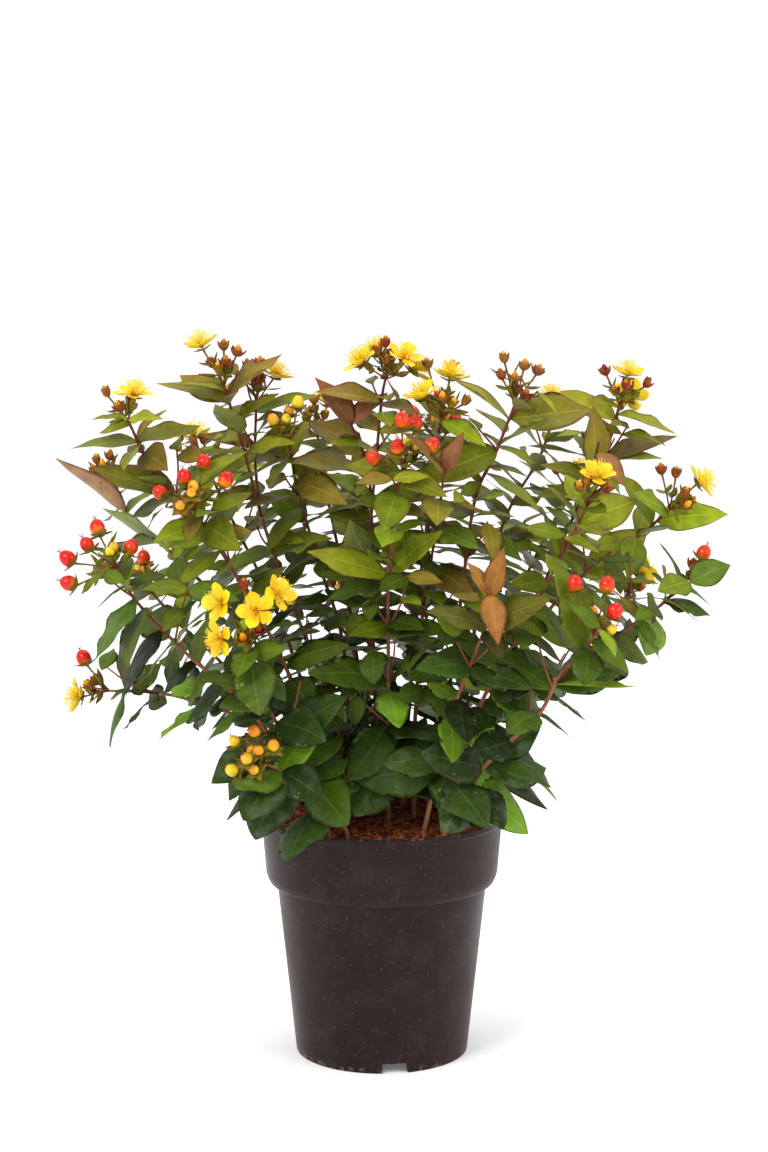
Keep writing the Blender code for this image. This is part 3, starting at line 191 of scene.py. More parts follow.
# Shoots. Places are in centimetres. A route runs from the soil, or from the shoot named by "on",
# to the tip. A leaf is its distance along the route and the offset of its tip from there. Flowers,
# buds and berries are offsets from the end of the route; a flower may add the way that it faces.
SHOOTS = {
    "centre": dict(
        route=[(0.5, -2, 18.8), (0.5, -3, 25), (0.5, -4.5, 31), (0.5, -5.5, 39.5), (1, -6, 44),
               (1.5, -6, 46)],
        leaves=[(26.1, (-1, -4, -2.5)), (19.7, (-6, -2, 2)), (19.7, (4, -1.5, 3.5)), (15.6, (4.5, -2, 0)),
                (15.8, (-3, -2, -0.5)), (11.4, (-6, -2.5, 1)), (11.4, (4, -2, 3.5)),
                (7.8, (3.5, -3.5, -0.5)), (7.8, (-3, -4, -3.5)), (5, (-2.5, -4.5, -3.5)),
                (5, (3, -4.5, -3))],
        berries=[(0, -0.6, 3.2), (0.9, 1.0, 2.9), (-0.3, -1.6, 1.5), (-1.7, 0, 0.6), (1.9, 0, 1.4)]),
    "tall_middle": dict(
        route=[(-0.5, 1, 18.8), (-0.5, 1.5, 27.5), (-1, 1, 38.5), (-0.5, 0, 45.5), (0, -1, 51),
               (0.3, -1, 52.6)],
        leaves=[(32.2, (-5, 0, 0.8)), (32.2, (2.5, -4, -0.5)), (17.9, (-4, -2, 1)),
                (19.6, (-1.4, -2.5, 3.5))],
        flowers=[(-1.7, -0.8, 1.1), (-0.6, 1.4, 1.7), (1.3, -1.2, 1.5), (2, 1, 0.5)],
        buds=[(0, 0.2, 2.4), (0.4, 2, 0.4)]),
    "upper_left": dict(
        route=[(-2.5, 0, 18.8), (-3.5, 0, 26), (-6.5, 1, 34), (-9, 1, 41), (-10.5, 0, 47), (-12, 0, 52)],
        leaves=[(33.4, (-5.5, 0, 1.5)), (33.8, (4.5, 2, 2.5)), (33.6, (-4, 3, 1)), (33.4, (0.5, -3.5, 1)),
                (31, (-1.5, -4, 2.5)), (29.4, (-5, -3, 0)), (29.4, (4, -3, 1))],
        flowers=[(-1.6, 0, 2.8)],
        buds=[(0, 0.3, 2.7), (1, -0.3, 2.3)]),
    "upper_left_side": dict(
        on="upper_left",
        route=[(-9.3, 1, 42.5), (-9.8, 2.6, 46), (-9.7, 3, 50.5)],
        leaves=[(7.9, (5, -2, 0.5)), (7.9, (-3.5, 3, -0.5))],
        flowers=[(1.4, 0, 1.9)],
        buds=[(0.3, 0, 2.8), (-0.6, 0, 2.6)]),
    "outer_upper_left": dict(
        route=[(-3.5, -3, 18.8), (-6.5, -4, 29), (-9, -4, 34.5), (-13.5, -4, 42), (-17, -3, 45.5),
               (-19, -3, 49.5)],
        leaves=[(33.3, (-5, 0, -0.5)), (33.3, (4.5, 3, 1)), (33, (-0.8, -4, -1.5)), (32.4, (2.2, -4, -1)),
                (28.3, (-6.5, 1, 2)), (28.3, (5.5, -2, 3.5))],
        flowers=[(0.4, 0, 1.8, (0.1, -0.2, 1))],
        buds=[(-1.5, 0, 1.9)]),
    "outer_left_berries": dict(
        on="outer_upper_left",
        route=[(-12.6, -4, 40.7), (-13.2, -6, 42), (-13.8, -7, 43.2)],
        leaves=[(2.5, (3, -3.4, -1.5)), (2.5, (-3.5, -2.8, -1))],
        berries=[(-0.6, -0.3, 2), (0.6, 0.5, 3), (-2.2, 0.3, 0.9), (2, 0.2, 1.7)]),
    "left_fan": dict(
        route=[(-4, 1, 18.8), (-9.5, 3, 31), (-14.5, 5, 36.5), (-18.7, 7, 40), (-21.5, 8.5, 42.5),
               (-22, 8.5, 44)],
        leaves=[(30.9, (-1.5, 0, 3.5)), (30.9, (2.5, -0.5, 2)), (29.4, (-5.4, 0.5, 4.6)), (29.4, (2.5, 3, 2)),
                (24.3, (-5.5, 1, 3.5)), (20, (-2.5, -4, 0)), (25.7, (-4.5, -2.5, -0.5))],
        buds=[(0.3, 0, 1.6)]),
    "left_berries": dict(
        route=[(-4.5, -5, 18.8), (-9, -8, 27.5), (-14.5, -9, 33), (-18, -8, 36.5), (-19.5, -8, 39)],
        leaves=[(24.3, (0.8, -3, 2.5)), (23.6, (-2.5, -4, -4)), (22.6, (-0.6, -5, -3.5)),
                (19.1, (3, -2.5, 3)), (19.1, (-1.5, -4.5, -1.5))],
        berries=[(-3.1, 0, 0.4), (-1.9, 0.4, 1.3), (-1.4, 1.6, 2.3), (-2.9, -0.2, -1.2), (0.8, 0.4, 1)]),
    "low_left": dict(
        route=[(-5, -1, 18.8), (-9, -2, 25.5), (-14.5, -2, 28), (-18, -1, 28.5), (-21, -1, 28.6)],
        leaves=[(19.3, (0, 0.5, 5)), (18.9, (2.5, -2, 2.5)), (16.6, (-2.5, -4, -2)), (19.3, (0.2, -5, -3.5)),
                (13.2, (-3, -4, -2)), (13.4, (-1, 4, 2.5))],
        flowers=[(-2, -0.4, -0.4, (-1, -0.2, 0.15))],
        berries=[(-1.7, 0.6, 1.9)]),
    "low_left_berries": dict(
        route=[(-4, -6.3, 18.8), (-6, -9, 23), (-8.3, -12, 25.2)],
        leaves=[(8, (1.5, 4, 3)), (8, (3, -4, -1)), (8, (-2.5, -5, -2.5)), (8, (-3, -4, 1.2)),
                (2.4, (-2, -6, -2.3))],
        berries=[(-0.8, -0.6, 2.1), (-2.1, -0.3, 1.4), (-1.2, -1.6, 0.5), (0.4, -0.9, 1.2),
                 (-2.1, -1, -0.4)]),
    "left_flowers": dict(
        route=[(-2.6, -6.4, 18.8), (-7.4, -8.5, 27), (-9, -11, 30.5), (-9.5, -13, 34.3)],
        leaves=[(17, (0.8, -5, -3)), (14.7, (-3.5, -4, 2)), (12.8, (-3, -4.5, 0.5)),
                (11.9, (-1, -4.5, -2.5)), (9.6, (-5, -4, -3)), (8.9, (5.5, -2.5, 2))],
        flowers=[(-1.8, -1.2, 3, (-0.7, -0.8, 0.3)), (0.6, -1.8, 2.6, (0.05, -1, 0.25)),
                 (1.9, 0.6, 3.4, (0.7, -0.5, 0.5)), (-1.8, -0.4, 0.4, (-0.7, -0.6, -0.1))],
        buds=[(-0.3, -0.6, 4)]),
    "brown_pair_left": dict(
        route=[(-1.5, 3, 18.8), (-1, 4, 31.5), (-0.8, 2.4, 41.5), (-1.2, 0.6, 46), (-2.5, -1, 49.5)],
        leaves=[(31.3, (-2.5, 0, 4)), (31.3, (1.5, 0, 3.5)), (29.6, (-4, 2.5, 1.5)), (30, (-1.5, -3, 0.5)),
                (27, (-6.5, -3, 1)), (26.1, (4.5, 2.5, 0))]),
    "yellow_berries": dict(
        route=[(-2.5, 4.5, 18.8), (-3, 6, 30.5), (-5, 4, 38), (-6.5, 1, 44), (-7, 0, 47.3)],
        leaves=[(29.4, (-1.5, -4, -2)), (29.4, (1, 3.5, 2.5)), (27.4, (4, -3, -1.5)), (26, (-4, -4, -0.5))],
        berries=[(-1.1, -0.5, 1.7), (-0.1, 0.8, 2.2), (0.6, -0.8, 3)]),
    "middle_flowers": dict(
        route=[(2.5, 0, 18.8), (2.5, 0, 24.5), (3, 0, 32.5), (3.5, -1, 40.5), (4, -2, 46.5), (4.5, -3, 49.8)],
        leaves=[(29.2, (-3, 3.5, 0)), (29.2, (3.5, 3, -1))],
        flowers=[(-1.3, -0.6, 1.4), (0.6, 0.5, 2.8)],
        buds=[(0, -1.2, 1.3), (1.6, -0.4, 1), (-1, 1.6, 3.6), (0.8, 3.4, 3.4)]),
    "brown_pair_right": dict(
        on="middle_flowers",
        route=[(3.1, -0.1, 34), (4, -4, 41), (4.5, -6, 45), (4.5, -7, 47.3)],
        leaves=[(13.4, (-3.3, 0, 4)), (13.4, (1.6, 0, 3.2)), (8.6, (3, -4, -1))]),
    "upper_right": dict(
        route=[(3.5, -1.8, 18.8), (5, -2.6, 28), (6, -3, 36), (7, -3, 43.5), (8.5, -3, 47), (10, -3, 50.8)],
        leaves=[(31.7, (6.5, 3, 0.5)), (31.7, (-5, 0, 2.5)), (29.6, (4, -2.5, 2)), (29.2, (-6, -3, -2.5)),
                (30.6, (-2, 4, 1.5)), (27.3, (4, -3, -2.5))],
        buds=[(-1, -0.4, 1.9), (-0.8, 0.6, 3.1), (1.6, 0.4, 2.2), (0.6, -0.3, 2.6)]),
    "upper_right_back": dict(
        route=[(4.5, 3, 18.8), (6.5, 5, 28.5), (9.5, 8, 40), (12.5, 9, 45.5), (13.5, 9, 48.3)],
        leaves=[(29.6, (2.5, -3, -2.5)), (29.6, (-2, 3.5, 2))],
        flowers=[(0, 0, 1.9)],
        buds=[(-1.4, 0.4, 1.2), (1.3, 0.3, 1)]),
    "right_flower_top": dict(
        route=[(5.5, 2, 18.8), (8.5, 3.5, 27), (11.5, 5, 33), (15, 6, 41), (17.5, 5, 46.5), (18.5, 4, 50.3)],
        leaves=[(33.9, (4.5, 0, -1.5)), (29.8, (6, 0, 2)), (29.8, (4.5, -3, 0.5)), (29.8, (-5.5, 3, 1))],
        flowers=[(0.5, -0.3, 2.1), (0.9, 1.9, 0.4, (0.4, 1, 0.3))],
        buds=[(-1.1, 0, 2.3), (1.9, -0.2, 1.4)]),
    "brown_leaf_right": dict(
        on="right_flower_top",
        route=[(14.8, 5.9, 40.5), (16, 2.2, 44.5), (16.5, -1, 47.8)],
        leaves=[(7.2, (0, 0, 4.8)), (7.2, (-1.2, 4.5, 2.5)), (4, (2.5, -2.5, -2))]),
    "right_flower": dict(
        route=[(5, -4, 18.8), (7, -6, 27.5), (10, -7, 33.5), (13, -8, 39.5), (15, -9, 43.8)],
        leaves=[(26, (1.5, -3, -0.5)), (26, (4.5, 2.5, 1.5)), (23, (-1, 0, 3)), (23, (-1, -4, -0.5))],
        flowers=[(0.7, 0, 1.9, (0.15, -0.5, 1))],
        buds=[(-0.6, -1, 1.2)]),
    "far_right": dict(
        route=[(6.5, -1, 18.8), (9, 0, 27.5), (12.5, 1, 34), (17, -1, 39), (19.6, -3, 41), (21.6, -4, 43)],
        leaves=[(28.6, (-2.5, 0, 3.7)), (29, (5.4, 0, 0.5)), (27.2, (2.5, -3, 1)), (21.6, (5, 3, 3)),
                (21.6, (-2, 4, 2.5))],
        flowers=[(2, 0, 1.9, (0.9, -0.2, 0.5))],
        buds=[(-0.6, 0.6, 2.6), (0.5, 1, 2.3)]),
    "low_right": dict(
        route=[(5, -6.2, 18.8), (7.5, -8, 24), (11.5, -10, 28.5), (13.5, -10, 32), (18, -8, 34.5),
               (20.5, -7, 36), (22.5, -6, 37.8)],
        leaves=[(25.8, (-0.5, -2.4, 3)), (25.6, (3.5, 0, -1)), (23.2, (-4.5, 0, 3)), (25.8, (2, -3.5, -1)),
                (20.4, (2.5, -4, -1)), (20.4, (-0.5, -3, 3)), (15, (5.5, -3.5, 0.5)), (14.8, (5, 3, 0.5)),
                (14.6, (-7, 3, 3)), (11.3, (0, 4.5, 3)), (7.3, (3.5, 0, 2.5)), (7.4, (4, -3.5, -1.5)),
                (4.6, (-2.5, -5, -2.5)), (4.6, (2, -4, -2.5)), (4.2, (1.5, 4, 3.5))],
        berries=[(1.2, 0, 1.6)]),
    "right_berries": dict(
        on="low_right",
        route=[(13.5, -10.1, 31.6), (14.6, -12, 33.4), (15.2, -13, 34.8)],
        leaves=[(3.2, (-3, 1, 6.2)), (3.4, (-0.5, -4, -2))],
        berries=[(-1.2, 0.2, 3.2), (0.9, 0.6, 3), (1.2, -0.8, 1.4)]),
    "orange_pair": dict(
        route=[(3.2, -6, 18.8), (5, -8, 27.5), (7, -10, 33.5), (8, -11, 36.5), (7.4, -12, 38.5)],
        leaves=[(20, (1, 0, 3.7)), (20, (-1.7, 0, 2.6)), (17.6, (-4.5, -3, 1.5)), (17.6, (4.5, -3, 2.5)),
                (14, (-4, -4, 0.5)), (14, (4.5, -3, 0.5))]),
    "back_left": dict(
        route=[(-3.4, 4.2, 18.8), (-8, 9, 32), (-12.5, 12, 41), (-14.5, 13, 45)],
        flowers=[(-0.8, 0.8, 1.9)],
        buds=[(1.2, 0.4, 1.6), (-1.9, -0.6, 1)]),
    "back_middle": dict(
        route=[(-0.6, 5.4, 18.8), (-2.5, 8.5, 33), (-4.5, 10, 43), (-5.2, 10.5, 47.6)],
        flowers=[(0.8, 0.6, 2.1)],
        buds=[(-0.2, -0.9, 2.4), (-1.4, 0.4, 1.7)]),
    "back_tall": dict(
        route=[(1.6, 4.6, 18.8), (2.8, 9, 33), (4, 12.5, 43), (4.2, 13.2, 47)],
        berries=[(0.4, 0.6, 2.6), (-1.4, 0.5, 1.4), (1.5, 1, 1), (0, 2, 0.9)]),
    "back_right": dict(
        route=[(3.6, 5.6, 18.8), (8.6, 10.6, 29), (13, 13.3, 38), (15.4, 14.2, 42)],
        flowers=[(0.9, 0.8, 1.8)],
        buds=[(-1, 0.3, 1.9)]),
    "back_low_left": dict(
        route=[(-5.4, 3.2, 18.8), (-11, 8, 27), (-16.5, 11, 32), (-19, 12, 34.6)],
        berries=[(-1.8, 0.5, 0.7), (-0.6, 1.6, 1.5), (-0.3, -0.7, 2.2)]),
    "back_low_middle": dict(
        route=[(-0.6, 7, 18.8), (-1.5, 10.5, 25.5), (-2.6, 13.8, 30.5), (-2.8, 15, 33)],
        flowers=[(0, 1.5, 1.3, (0, 1, 0.5))],
        buds=[(1.3, 0.6, 1.3), (-1.3, 0.4, 1.4)]),
    "back_low_right": dict(
        route=[(6, 4, 18.8), (12, 8.5, 26), (17.5, 11.5, 31), (20, 12.5, 34)],
        flowers=[(1.2, 0.6, 1.6, (0.7, 0.7, 0.5))],
        buds=[(-0.4, 0.8, 2)]),
}

AMBER_BUNCHES = ("yellow_berries", "low_left_berries")
YOUNG_SHOOTS = ("brown_pair_left", "brown_pair_right", "brown_leaf_right", "orange_pair")

YOUNG_NODES = ("shoot_brown_pair_left", "shoot_orange_pair")


def linear(*colour):
    """A colour given as it looks on a screen, 0 to 255, as light."""
    shares = np.array(colour) / 255
    return np.where(shares <= 0.04045, shares / 12.92, ((shares + 0.055) / 1.055) ** 2.4)


# Colours
GREEN_HEIGHTS = (-0.05, 0.25, 0.50, 0.75, 1.0)
GREENS = np.array([linear(33, 49, 14), linear(44, 66, 17), linear(74, 94, 15), linear(112, 122, 19),
                   linear(130, 132, 27)])
FRESH_GREEN = linear(100, 136, 26)
BRIGHT_GREEN = linear(126, 146, 22)
BRONZE = linear(124, 92, 40)
RED_BROWN = linear(124, 60, 36)
YOUNG_BROWN = linear(138, 80, 60)
YOUNG_ORANGE = linear(142, 88, 42)
PALE_TAN = linear(150, 118, 88)
UNDERSIDE = linear(142, 146, 92)
VEIN_TONE = linear(180, 176, 96)
DUST = linear(176, 172, 160)
STALK_TONES = np.array([linear(138, 98, 68), linear(132, 78, 56), linear(108, 44, 32)])
PEDICEL_TONES = (linear(112, 44, 28), linear(112, 96, 34))
SEPAL_GREEN = linear(116, 118, 30)
SEPAL_RED = linear(128, 32, 26)
BUD_TONES = (linear(206, 124, 14), linear(112, 20, 16))
YELLOW_TIP = linear(232, 176, 16)
RED_TONES = (linear(228, 150, 16), linear(192, 4, 2))
AMBER_TONES = (linear(214, 186, 36), linear(228, 84, 10))
STYLE_TONE = linear(110, 60, 34)
PETAL_TONES = (linear(224, 160, 2), linear(246, 208, 7))
STAMEN_TONE = linear(252, 224, 48)
ANTHER_TONE = linear(246, 200, 34)
OVARY_TONES = (linear(196, 44, 20), linear(190, 170, 40))
CHARCOAL = linear(32, 18, 17)
WORN_TONE = linear(150, 118, 92)
COIR_TONES = (linear(84, 34, 12), linear(156, 70, 32), linear(192, 98, 44), linear(216, 150, 92))
LEAF_LOOK, STALK_LOOK, SEPAL_LOOK, BERRY_LOOK = range(4)
PETAL_LOOK, STAMEN_LOOK, OVARY_LOOK = range(3)


def variants():
    """Small turns, lifts and shrinks of a leaf, the least change first."""
    turns = (0, 10, -10, 20, -20, 32, -32, 45, -45, 60, -60)
    lifts = (0, 9, -9, 18, -18, 30, -30)
    scales = (1.0, 0.88, 0.76)
    every = [(turn, lift, scale) for turn in turns for lift in lifts for scale in scales]
    return sorted(every, key=lambda v: abs(v[0]) + abs(v[1]) + 110 * (1 - v[2]))


VARIANTS = variants()

# Plan of the plant, worked out as its solids were

def smooth_route(points, count):
    """Points of a Catmull-Rom curve through the route, count to each stretch."""
    ends = [points[0] * 2 - points[1]] + points + [points[-1] * 2 - points[-2]]
    curve = []
    for a, b, c, d in zip(ends, ends[1:], ends[2:], ends[3:]):
        for k in range(count):
            t = k / count
            curve.append(0.5 * (2 * b + (c - a) * t + (2 * a - 5 * b + 4 * c - d) * t * t
                                + (3 * b - a - 3 * c + d) * t ** 3))
    curve.append(points[-1])
    return curve


def without_straight_points(curve):
    """A curve less the points that lie almost straight between their neighbours."""
    kept = [curve[0]]
    for point, following in zip(curve[1:], curve[2:]):
        if (point - kept[-1]).cross((following - kept[-1]).normalized()).length > STRAIGHT_ENOUGH:
            kept.append(point)
    return kept + [curve[-1]]


def nearest_on(route, point):
    """The place on a route that lies nearest to a point."""
    places = []
    for start, end in zip(route, route[1:]):
        share = max(0, min(1, (point - start).dot(end - start) / (end - start).length_squared))
        places.append(start.lerp(end, share))
    return min(places, key=lambda place: (place - point).length)


def plan_routes():
    """Each shoot's route in metres: as its solid has it, and finely for its stalk."""
    plans = {}
    for name, shoot in SHOOTS.items():
        points = [Vector(point) * CM for point in shoot["route"]]
        thick, thin = SHOOT_RADII
        if "on" in shoot:
            points[0] = nearest_on(plans[shoot["on"]]["route"], points[0])
            thick, thin = SIDE_RADII
        route = without_straight_points(smooth_route(points, 2))
        count = len(route)
        radii = [thick + (thin - thick) * k / (count - 1) for k in range(count)]
        plans[name] = dict(
            route=route, radii=radii, owner=shoot.get("on", name), ends=(thick, thin),
            fine=np.array([tuple(point) for point in smooth_route(points, 10)]))
    return plans


def along(plan, distance):
    """The point, the direction and the stalk's radius in metres at a distance along a route."""
    route = plan["route"]
    for start, end, thick, thin in zip(route, route[1:], plan["radii"], plan["radii"][1:]):
        length = (end - start).length
        if distance <= length:
            break
        distance -= length
    share = min(distance / length, 1)
    return start.lerp(end, share), (end - start).normalized(), (thick + (thin - thick) * share) * MM


def route_length(route):
    return sum((b - a).length for a, b in zip(route, route[1:]))


def plan_heads(plans):
    """The places of the flowers, buds and berries at the end of each route, and the ways they face."""
    heads = []
    for name, shoot in SHOOTS.items():
        tip = plans[name]["route"][-1]
        heading = (tip - plans[name]["route"][-2]).normalized()
        for kind in ("flowers", "buds", "berries"):
            for i, entry in enumerate(shoot.get(kind, ())):
                place = tip + Vector(entry[:3]) * CM
                facing = (place - tip).normalized() * 0.6 + UP * 0.4
                if len(entry) > 3:
                    facing = Vector(entry[3])
                heads.append(dict(
                    shoot=name, owner=plans[name]["owner"], kind=kind, index=i,
                    place=np.array(place), facing=np.array(facing.normalized()), tip=np.array(tip),
                    heading=np.array(heading)))
    return heads


def wanted_leaf(name, plan, distance, offset, arch):
    """A leaf whose root starts just off the axis of its stalk."""
    point, stem, radius = along(plan, distance)
    base = point + offset.normalized() * radius * ROOT_START
    return dict(shoot=name, base=base, stem=stem, offset=offset, arch=arch, distance=distance)


def tip_of(leaf):
    return leaf["base"] + leaf["offset"]


def hand_set_leaves(plans):
    """Leaves that are placed one by one."""
    wanted = []
    for name, shoot in SHOOTS.items():
        for distance, offset in shoot.get("leaves", ()):
            offset = Vector(offset) * CM
            wanted.append(wanted_leaf(name, plans[name], distance * CM, offset, HAND_LEAF_ARCH))
    return wanted


def height_share(height):
    """0 at the foot of the plant and 1 at its top."""
    return (height - PLANT_LOW) / (PLANT_HIGH - PLANT_LOW)


def filling_pairs(plans):
    """Pairs of leaves that cross at right angles, where no leaf is listed one by one."""
    wanted = []
    for number, (name, shoot) in enumerate(SHOOTS.items()):
        draw = random.Random(SEED + number)
        length = route_length(plans[name]["route"])
        taken = [distance * CM for distance, offset in shoot.get("leaves", ())]
        distance = FIRST_PAIR + draw.uniform(-0.008, 0.008)
        phase = draw.uniform(0, math.pi)
        while distance < length - PAIR_TIP_KEEP_OFF:
            phase += math.pi / 2
            if all(abs(distance - other) > PAIR_KEEP_OFF for other in taken):
                point, stem, radius = along(plans[name], distance)
                share = height_share(point.z)
                size = (PAIR_SIZES[0] + (PAIR_SIZES[1] - PAIR_SIZES[0]) * share) * draw.uniform(0.88, 1.08)
                rise = PAIR_RISES[0] + (PAIR_RISES[1] - PAIR_RISES[0]) * share + draw.uniform(-8, 8)
                wanted += opposite_pair(name, plans[name], distance, phase, math.radians(rise), size)
            distance += PAIR_SPACING * draw.uniform(0.9, 1.1)
    return wanted


def opposite_pair(name, plan, distance, phase, rise, size):
    """Two leaves on opposite sides of a stalk."""
    stem = along(plan, distance)[1]
    across = Vector((math.cos(phase), math.sin(phase), 0))
    across = (across - stem * across.dot(stem)).normalized()
    offsets = [(across * sign * math.cos(rise) + UP * math.sin(rise)) * size for sign in (1, -1)]
    return [wanted_leaf(name, plan, distance, offset, PAIR_ARCH) for offset in offsets]


def changed_leaf(leaf, variant):
    """A leaf turned round its stalk, lifted, and made smaller."""
    turn, lift, scale = variant
    offset = Matrix.Rotation(math.radians(turn), 3, leaf["stem"]) @ leaf["offset"]
    across = leaf["stem"].cross(offset).normalized()
    offset = Matrix.Rotation(math.radians(-lift), 3, across) @ offset
    return dict(leaf, offset=offset * scale)


def node_corners(node):
    """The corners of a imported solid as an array."""
    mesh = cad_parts[node].data
    corners = np.empty(len(mesh.vertices) * 3)
    mesh.vertices.foreach_get("co", corners)
    return corners.reshape(-1, 3)


def seated_leaves(plans):
    """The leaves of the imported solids: each wanted leaf, changed in the way that its solid was.

    The tip of a leaf is a corner of its shoot's solid, so the first change whose tip lies on one
    is the change that was made.
    """
    leaves = []
    corners = {}
    for leaf in hand_set_leaves(plans) + filling_pairs(plans):
        owner = plans[leaf["shoot"]]["owner"]
        if owner not in corners:
            corners[owner] = node_corners("shoot_" + owner)
        for variant in VARIANTS:
            tried = changed_leaf(leaf, variant)
            tip = np.array(tip_of(tried))
            if np.abs(corners[owner] - tip).sum(axis=1).min() < SAME_PLACE:
                leaves.append(tried)
                break
    return leaves


# Rings, which every surface is made of

def unit(vectors):
    return vectors / np.maximum(np.linalg.norm(vectors, axis=-1, keepdims=True), 1e-12)


def blend(a, b, share):
    return a + (b - a) * np.asarray(share)[..., None]


def bezier(start, middle, end, t):
    """Points of a quadratic Bezier curve."""
    return start * (1 - t) ** 2 + middle * 2 * t * (1 - t) + end * t * t


def around(directions, angle):
    """The way at an angle round an axis, from two directions that are square to it."""
    return directions[0] * math.cos(angle) + directions[1] * math.sin(angle)


def clean(colour):
    """A colour, or an array of them, with no dust as its fourth number."""
    return np.concatenate([colour, np.zeros(colour.shape[:-1] + (1,))], -1)


class Surface:
    """Rings gathered in one mesh, with a colour and a place on the blade for each corner."""

    def __init__(self):
        self.points, self.faces, self.looks, self.colours, self.places = [], [], [], [], []
        self.count = 0

    def add(self, points, faces, colours, places, look):
        self.points.append(points)
        self.faces += [faces[faces[:, 3] >= 0] + self.count, faces[faces[:, 3] < 0][:, :3] + self.count]
        self.looks += [look, look]
        self.colours.append(colours)
        self.places.append(places)
        self.count += len(points)

    def rings(self, rings, start, end, colours, look, places=None):
        """Joins each ring to the next one, and closes the first and the last with a point."""
        rows, columns = rings.shape[:2]
        row = np.arange(rows - 1)[:, None] * columns
        column = np.arange(columns)
        following = (column + 1) % columns
        here, beside = row + column, row + following
        quads = np.stack([here, beside, beside + columns, here + columns], -1)
        last = (rows - 1) * columns
        low = np.full(columns, rows * columns)
        none = np.full(columns, -1)
        caps = [np.stack([low, following, column, none], -1),
                np.stack([low + 1, last + column, last + following, none], -1)]
        faces = np.concatenate([quads.reshape(-1, 4), *caps])
        points = np.concatenate([rings.reshape(-1, 3), [start, end]])
        colours = with_ends(np.broadcast_to(colours, (rows, columns, 4)))
        places = with_ends(ring_places(rows, columns) if places is None else places)
        self.add(points, faces, colours, places, look)

    def blade(self, rings, tip, colours, t, v, look):
        """A blade's rings, with the places along and across it that its veins follow."""
        places = np.stack(np.broadcast_arrays(t[:, None], 0.5 + 0.5 * v[None, :]), -1)
        self.rings(rings, rings[0].mean(axis=0), tip, colours, look, places)

    def piece(self, name, materials, sharp=None):
        """The finished object, with its place in its mesh."""
        points = np.concatenate(self.points)
        corners = np.concatenate([faces.ravel() for faces in self.faces])
        sizes = np.concatenate([np.full(len(faces), faces.shape[1]) for faces in self.faces])
        looks = np.concatenate([np.full(len(faces), look) for faces, look in zip(self.faces, self.looks)])
        starts = np.concatenate([[0], np.cumsum(sizes)[:-1]])
        mesh = bpy.data.meshes.new(name)
        mesh.vertices.add(len(points))
        mesh.vertices.foreach_set("co", points.ravel())
        mesh.loops.add(len(corners))
        mesh.loops.foreach_set("vertex_index", corners.astype(np.int32))
        mesh.polygons.add(len(sizes))
        mesh.polygons.foreach_set("loop_start", starts.astype(np.int32))
        mesh.polygons.foreach_set("material_index", looks.astype(np.int32))
        mesh.polygons.foreach_set("use_smooth", np.ones(len(sizes), dtype=bool))
        mesh.update(calc_edges=True)
        tone = mesh.color_attributes.new("tone", "FLOAT_COLOR", "POINT")
        tone.data.foreach_set("color", np.concatenate(self.colours).astype(np.float32).ravel())
        blade = mesh.uv_layers.new(name="blade")
        blade.data.foreach_set("uv", np.concatenate(self.places)[corners].astype(np.float32).ravel())
        if sharp:
            mesh.set_sharp_from_angle(angle=math.radians(sharp))
        for material in materials:
            mesh.materials.append(material)
        made = bpy.data.objects.new(name, mesh)
        bpy.context.scene.collection.objects.link(made)
        return made


def ring_places(rows, columns):
    """Blade coordinates of plain rings: along them, and round them."""
    along_rings = np.broadcast_to(np.linspace(0, 1, rows)[:, None], (rows, columns))
    round_ring = np.broadcast_to(np.abs(np.linspace(-1, 1, columns))[None, :], (rows, columns))
    return np.stack([along_rings, round_ring], -1)


def with_ends(values):
    """A value for each corner of some rings, with the means of the first and the last ring at the end."""
    ends = [values[0].mean(axis=0), values[-1].mean(axis=0)]
    return np.concatenate([values.reshape(-1, values.shape[-1]), ends])


def tube(surface, path, radii, sides, colours, look):
    """A round ring carried along a path.

    A ring's corners are the path's point plus the radius times the cosine and the sine of the
    angle, along two directions that are square to the path.
    """
    tangents = unit(np.gradient(path, axis=0))
    guide = np.eye(3)[np.argmin(np.abs(tangents).mean(axis=0))]
    first = unit(np.cross(tangents, guide))
    second = np.cross(tangents, first)
    turn = np.arange(sides) * math.tau / sides
    radii = np.broadcast_to(radii, len(path))[:, None, None]
    rings = path[:, None] + radii * (first[:, None] * np.cos(turn)[None, :, None]
                                     + second[:, None] * np.sin(turn)[None, :, None])
    if colours.ndim == 2:
        colours = colours[:, None]
    surface.rings(rings, path[0], path[-1], colours, look)


def blade_rings(rib, side, face, widths, thickness, fold, ripple, columns):
    """A flat ring carried along a rib.

    Across the blade, v runs from -1 to 1 over the upper face and back under it. A corner is the
    rib's point, plus v times the half width to the side, plus the fold's rise, and less the
    thickness under it, which is nothing at the edges.
    """
    tangents = unit(np.gradient(rib, axis=0))
    normals = unit(np.cross(side, tangents))
    normals *= np.sign((normals @ face))[:, None]
    over = np.linspace(-1, 1, columns)
    v = np.concatenate([over, over[-2:0:-1]])
    under = np.concatenate([np.zeros(columns), np.ones(columns - 2)])
    wide = widths[:, None]
    rise = wide * (fold * np.abs(v) ** 1.4 - fold * 0.35) + wide * (ripple * v ** 2 + ripple[::-1] * v ** 3)
    rise = rise - thickness[:, None] * under * np.sqrt(1 - v ** 2 * 0.9)
    rings = rib[:, None] + side[:, None] * (wide * v)[..., None] + normals[:, None] * rise[..., None]
    return rings, v, under


def arched_rib(base, offset, face, arch, t):
    """Points of a rib whose middle is raised by arch times its length."""
    middle = base + offset * 0.5 + face * arch * np.linalg.norm(offset)
    return bezier(base, middle, base + offset, t[:, None])


def square_to(direction):
    """Two unit directions square to one."""
    guide = np.eye(3)[np.argmin(np.abs(direction))]
    first = unit(np.cross(guide, direction))
    return first, np.cross(direction, first)


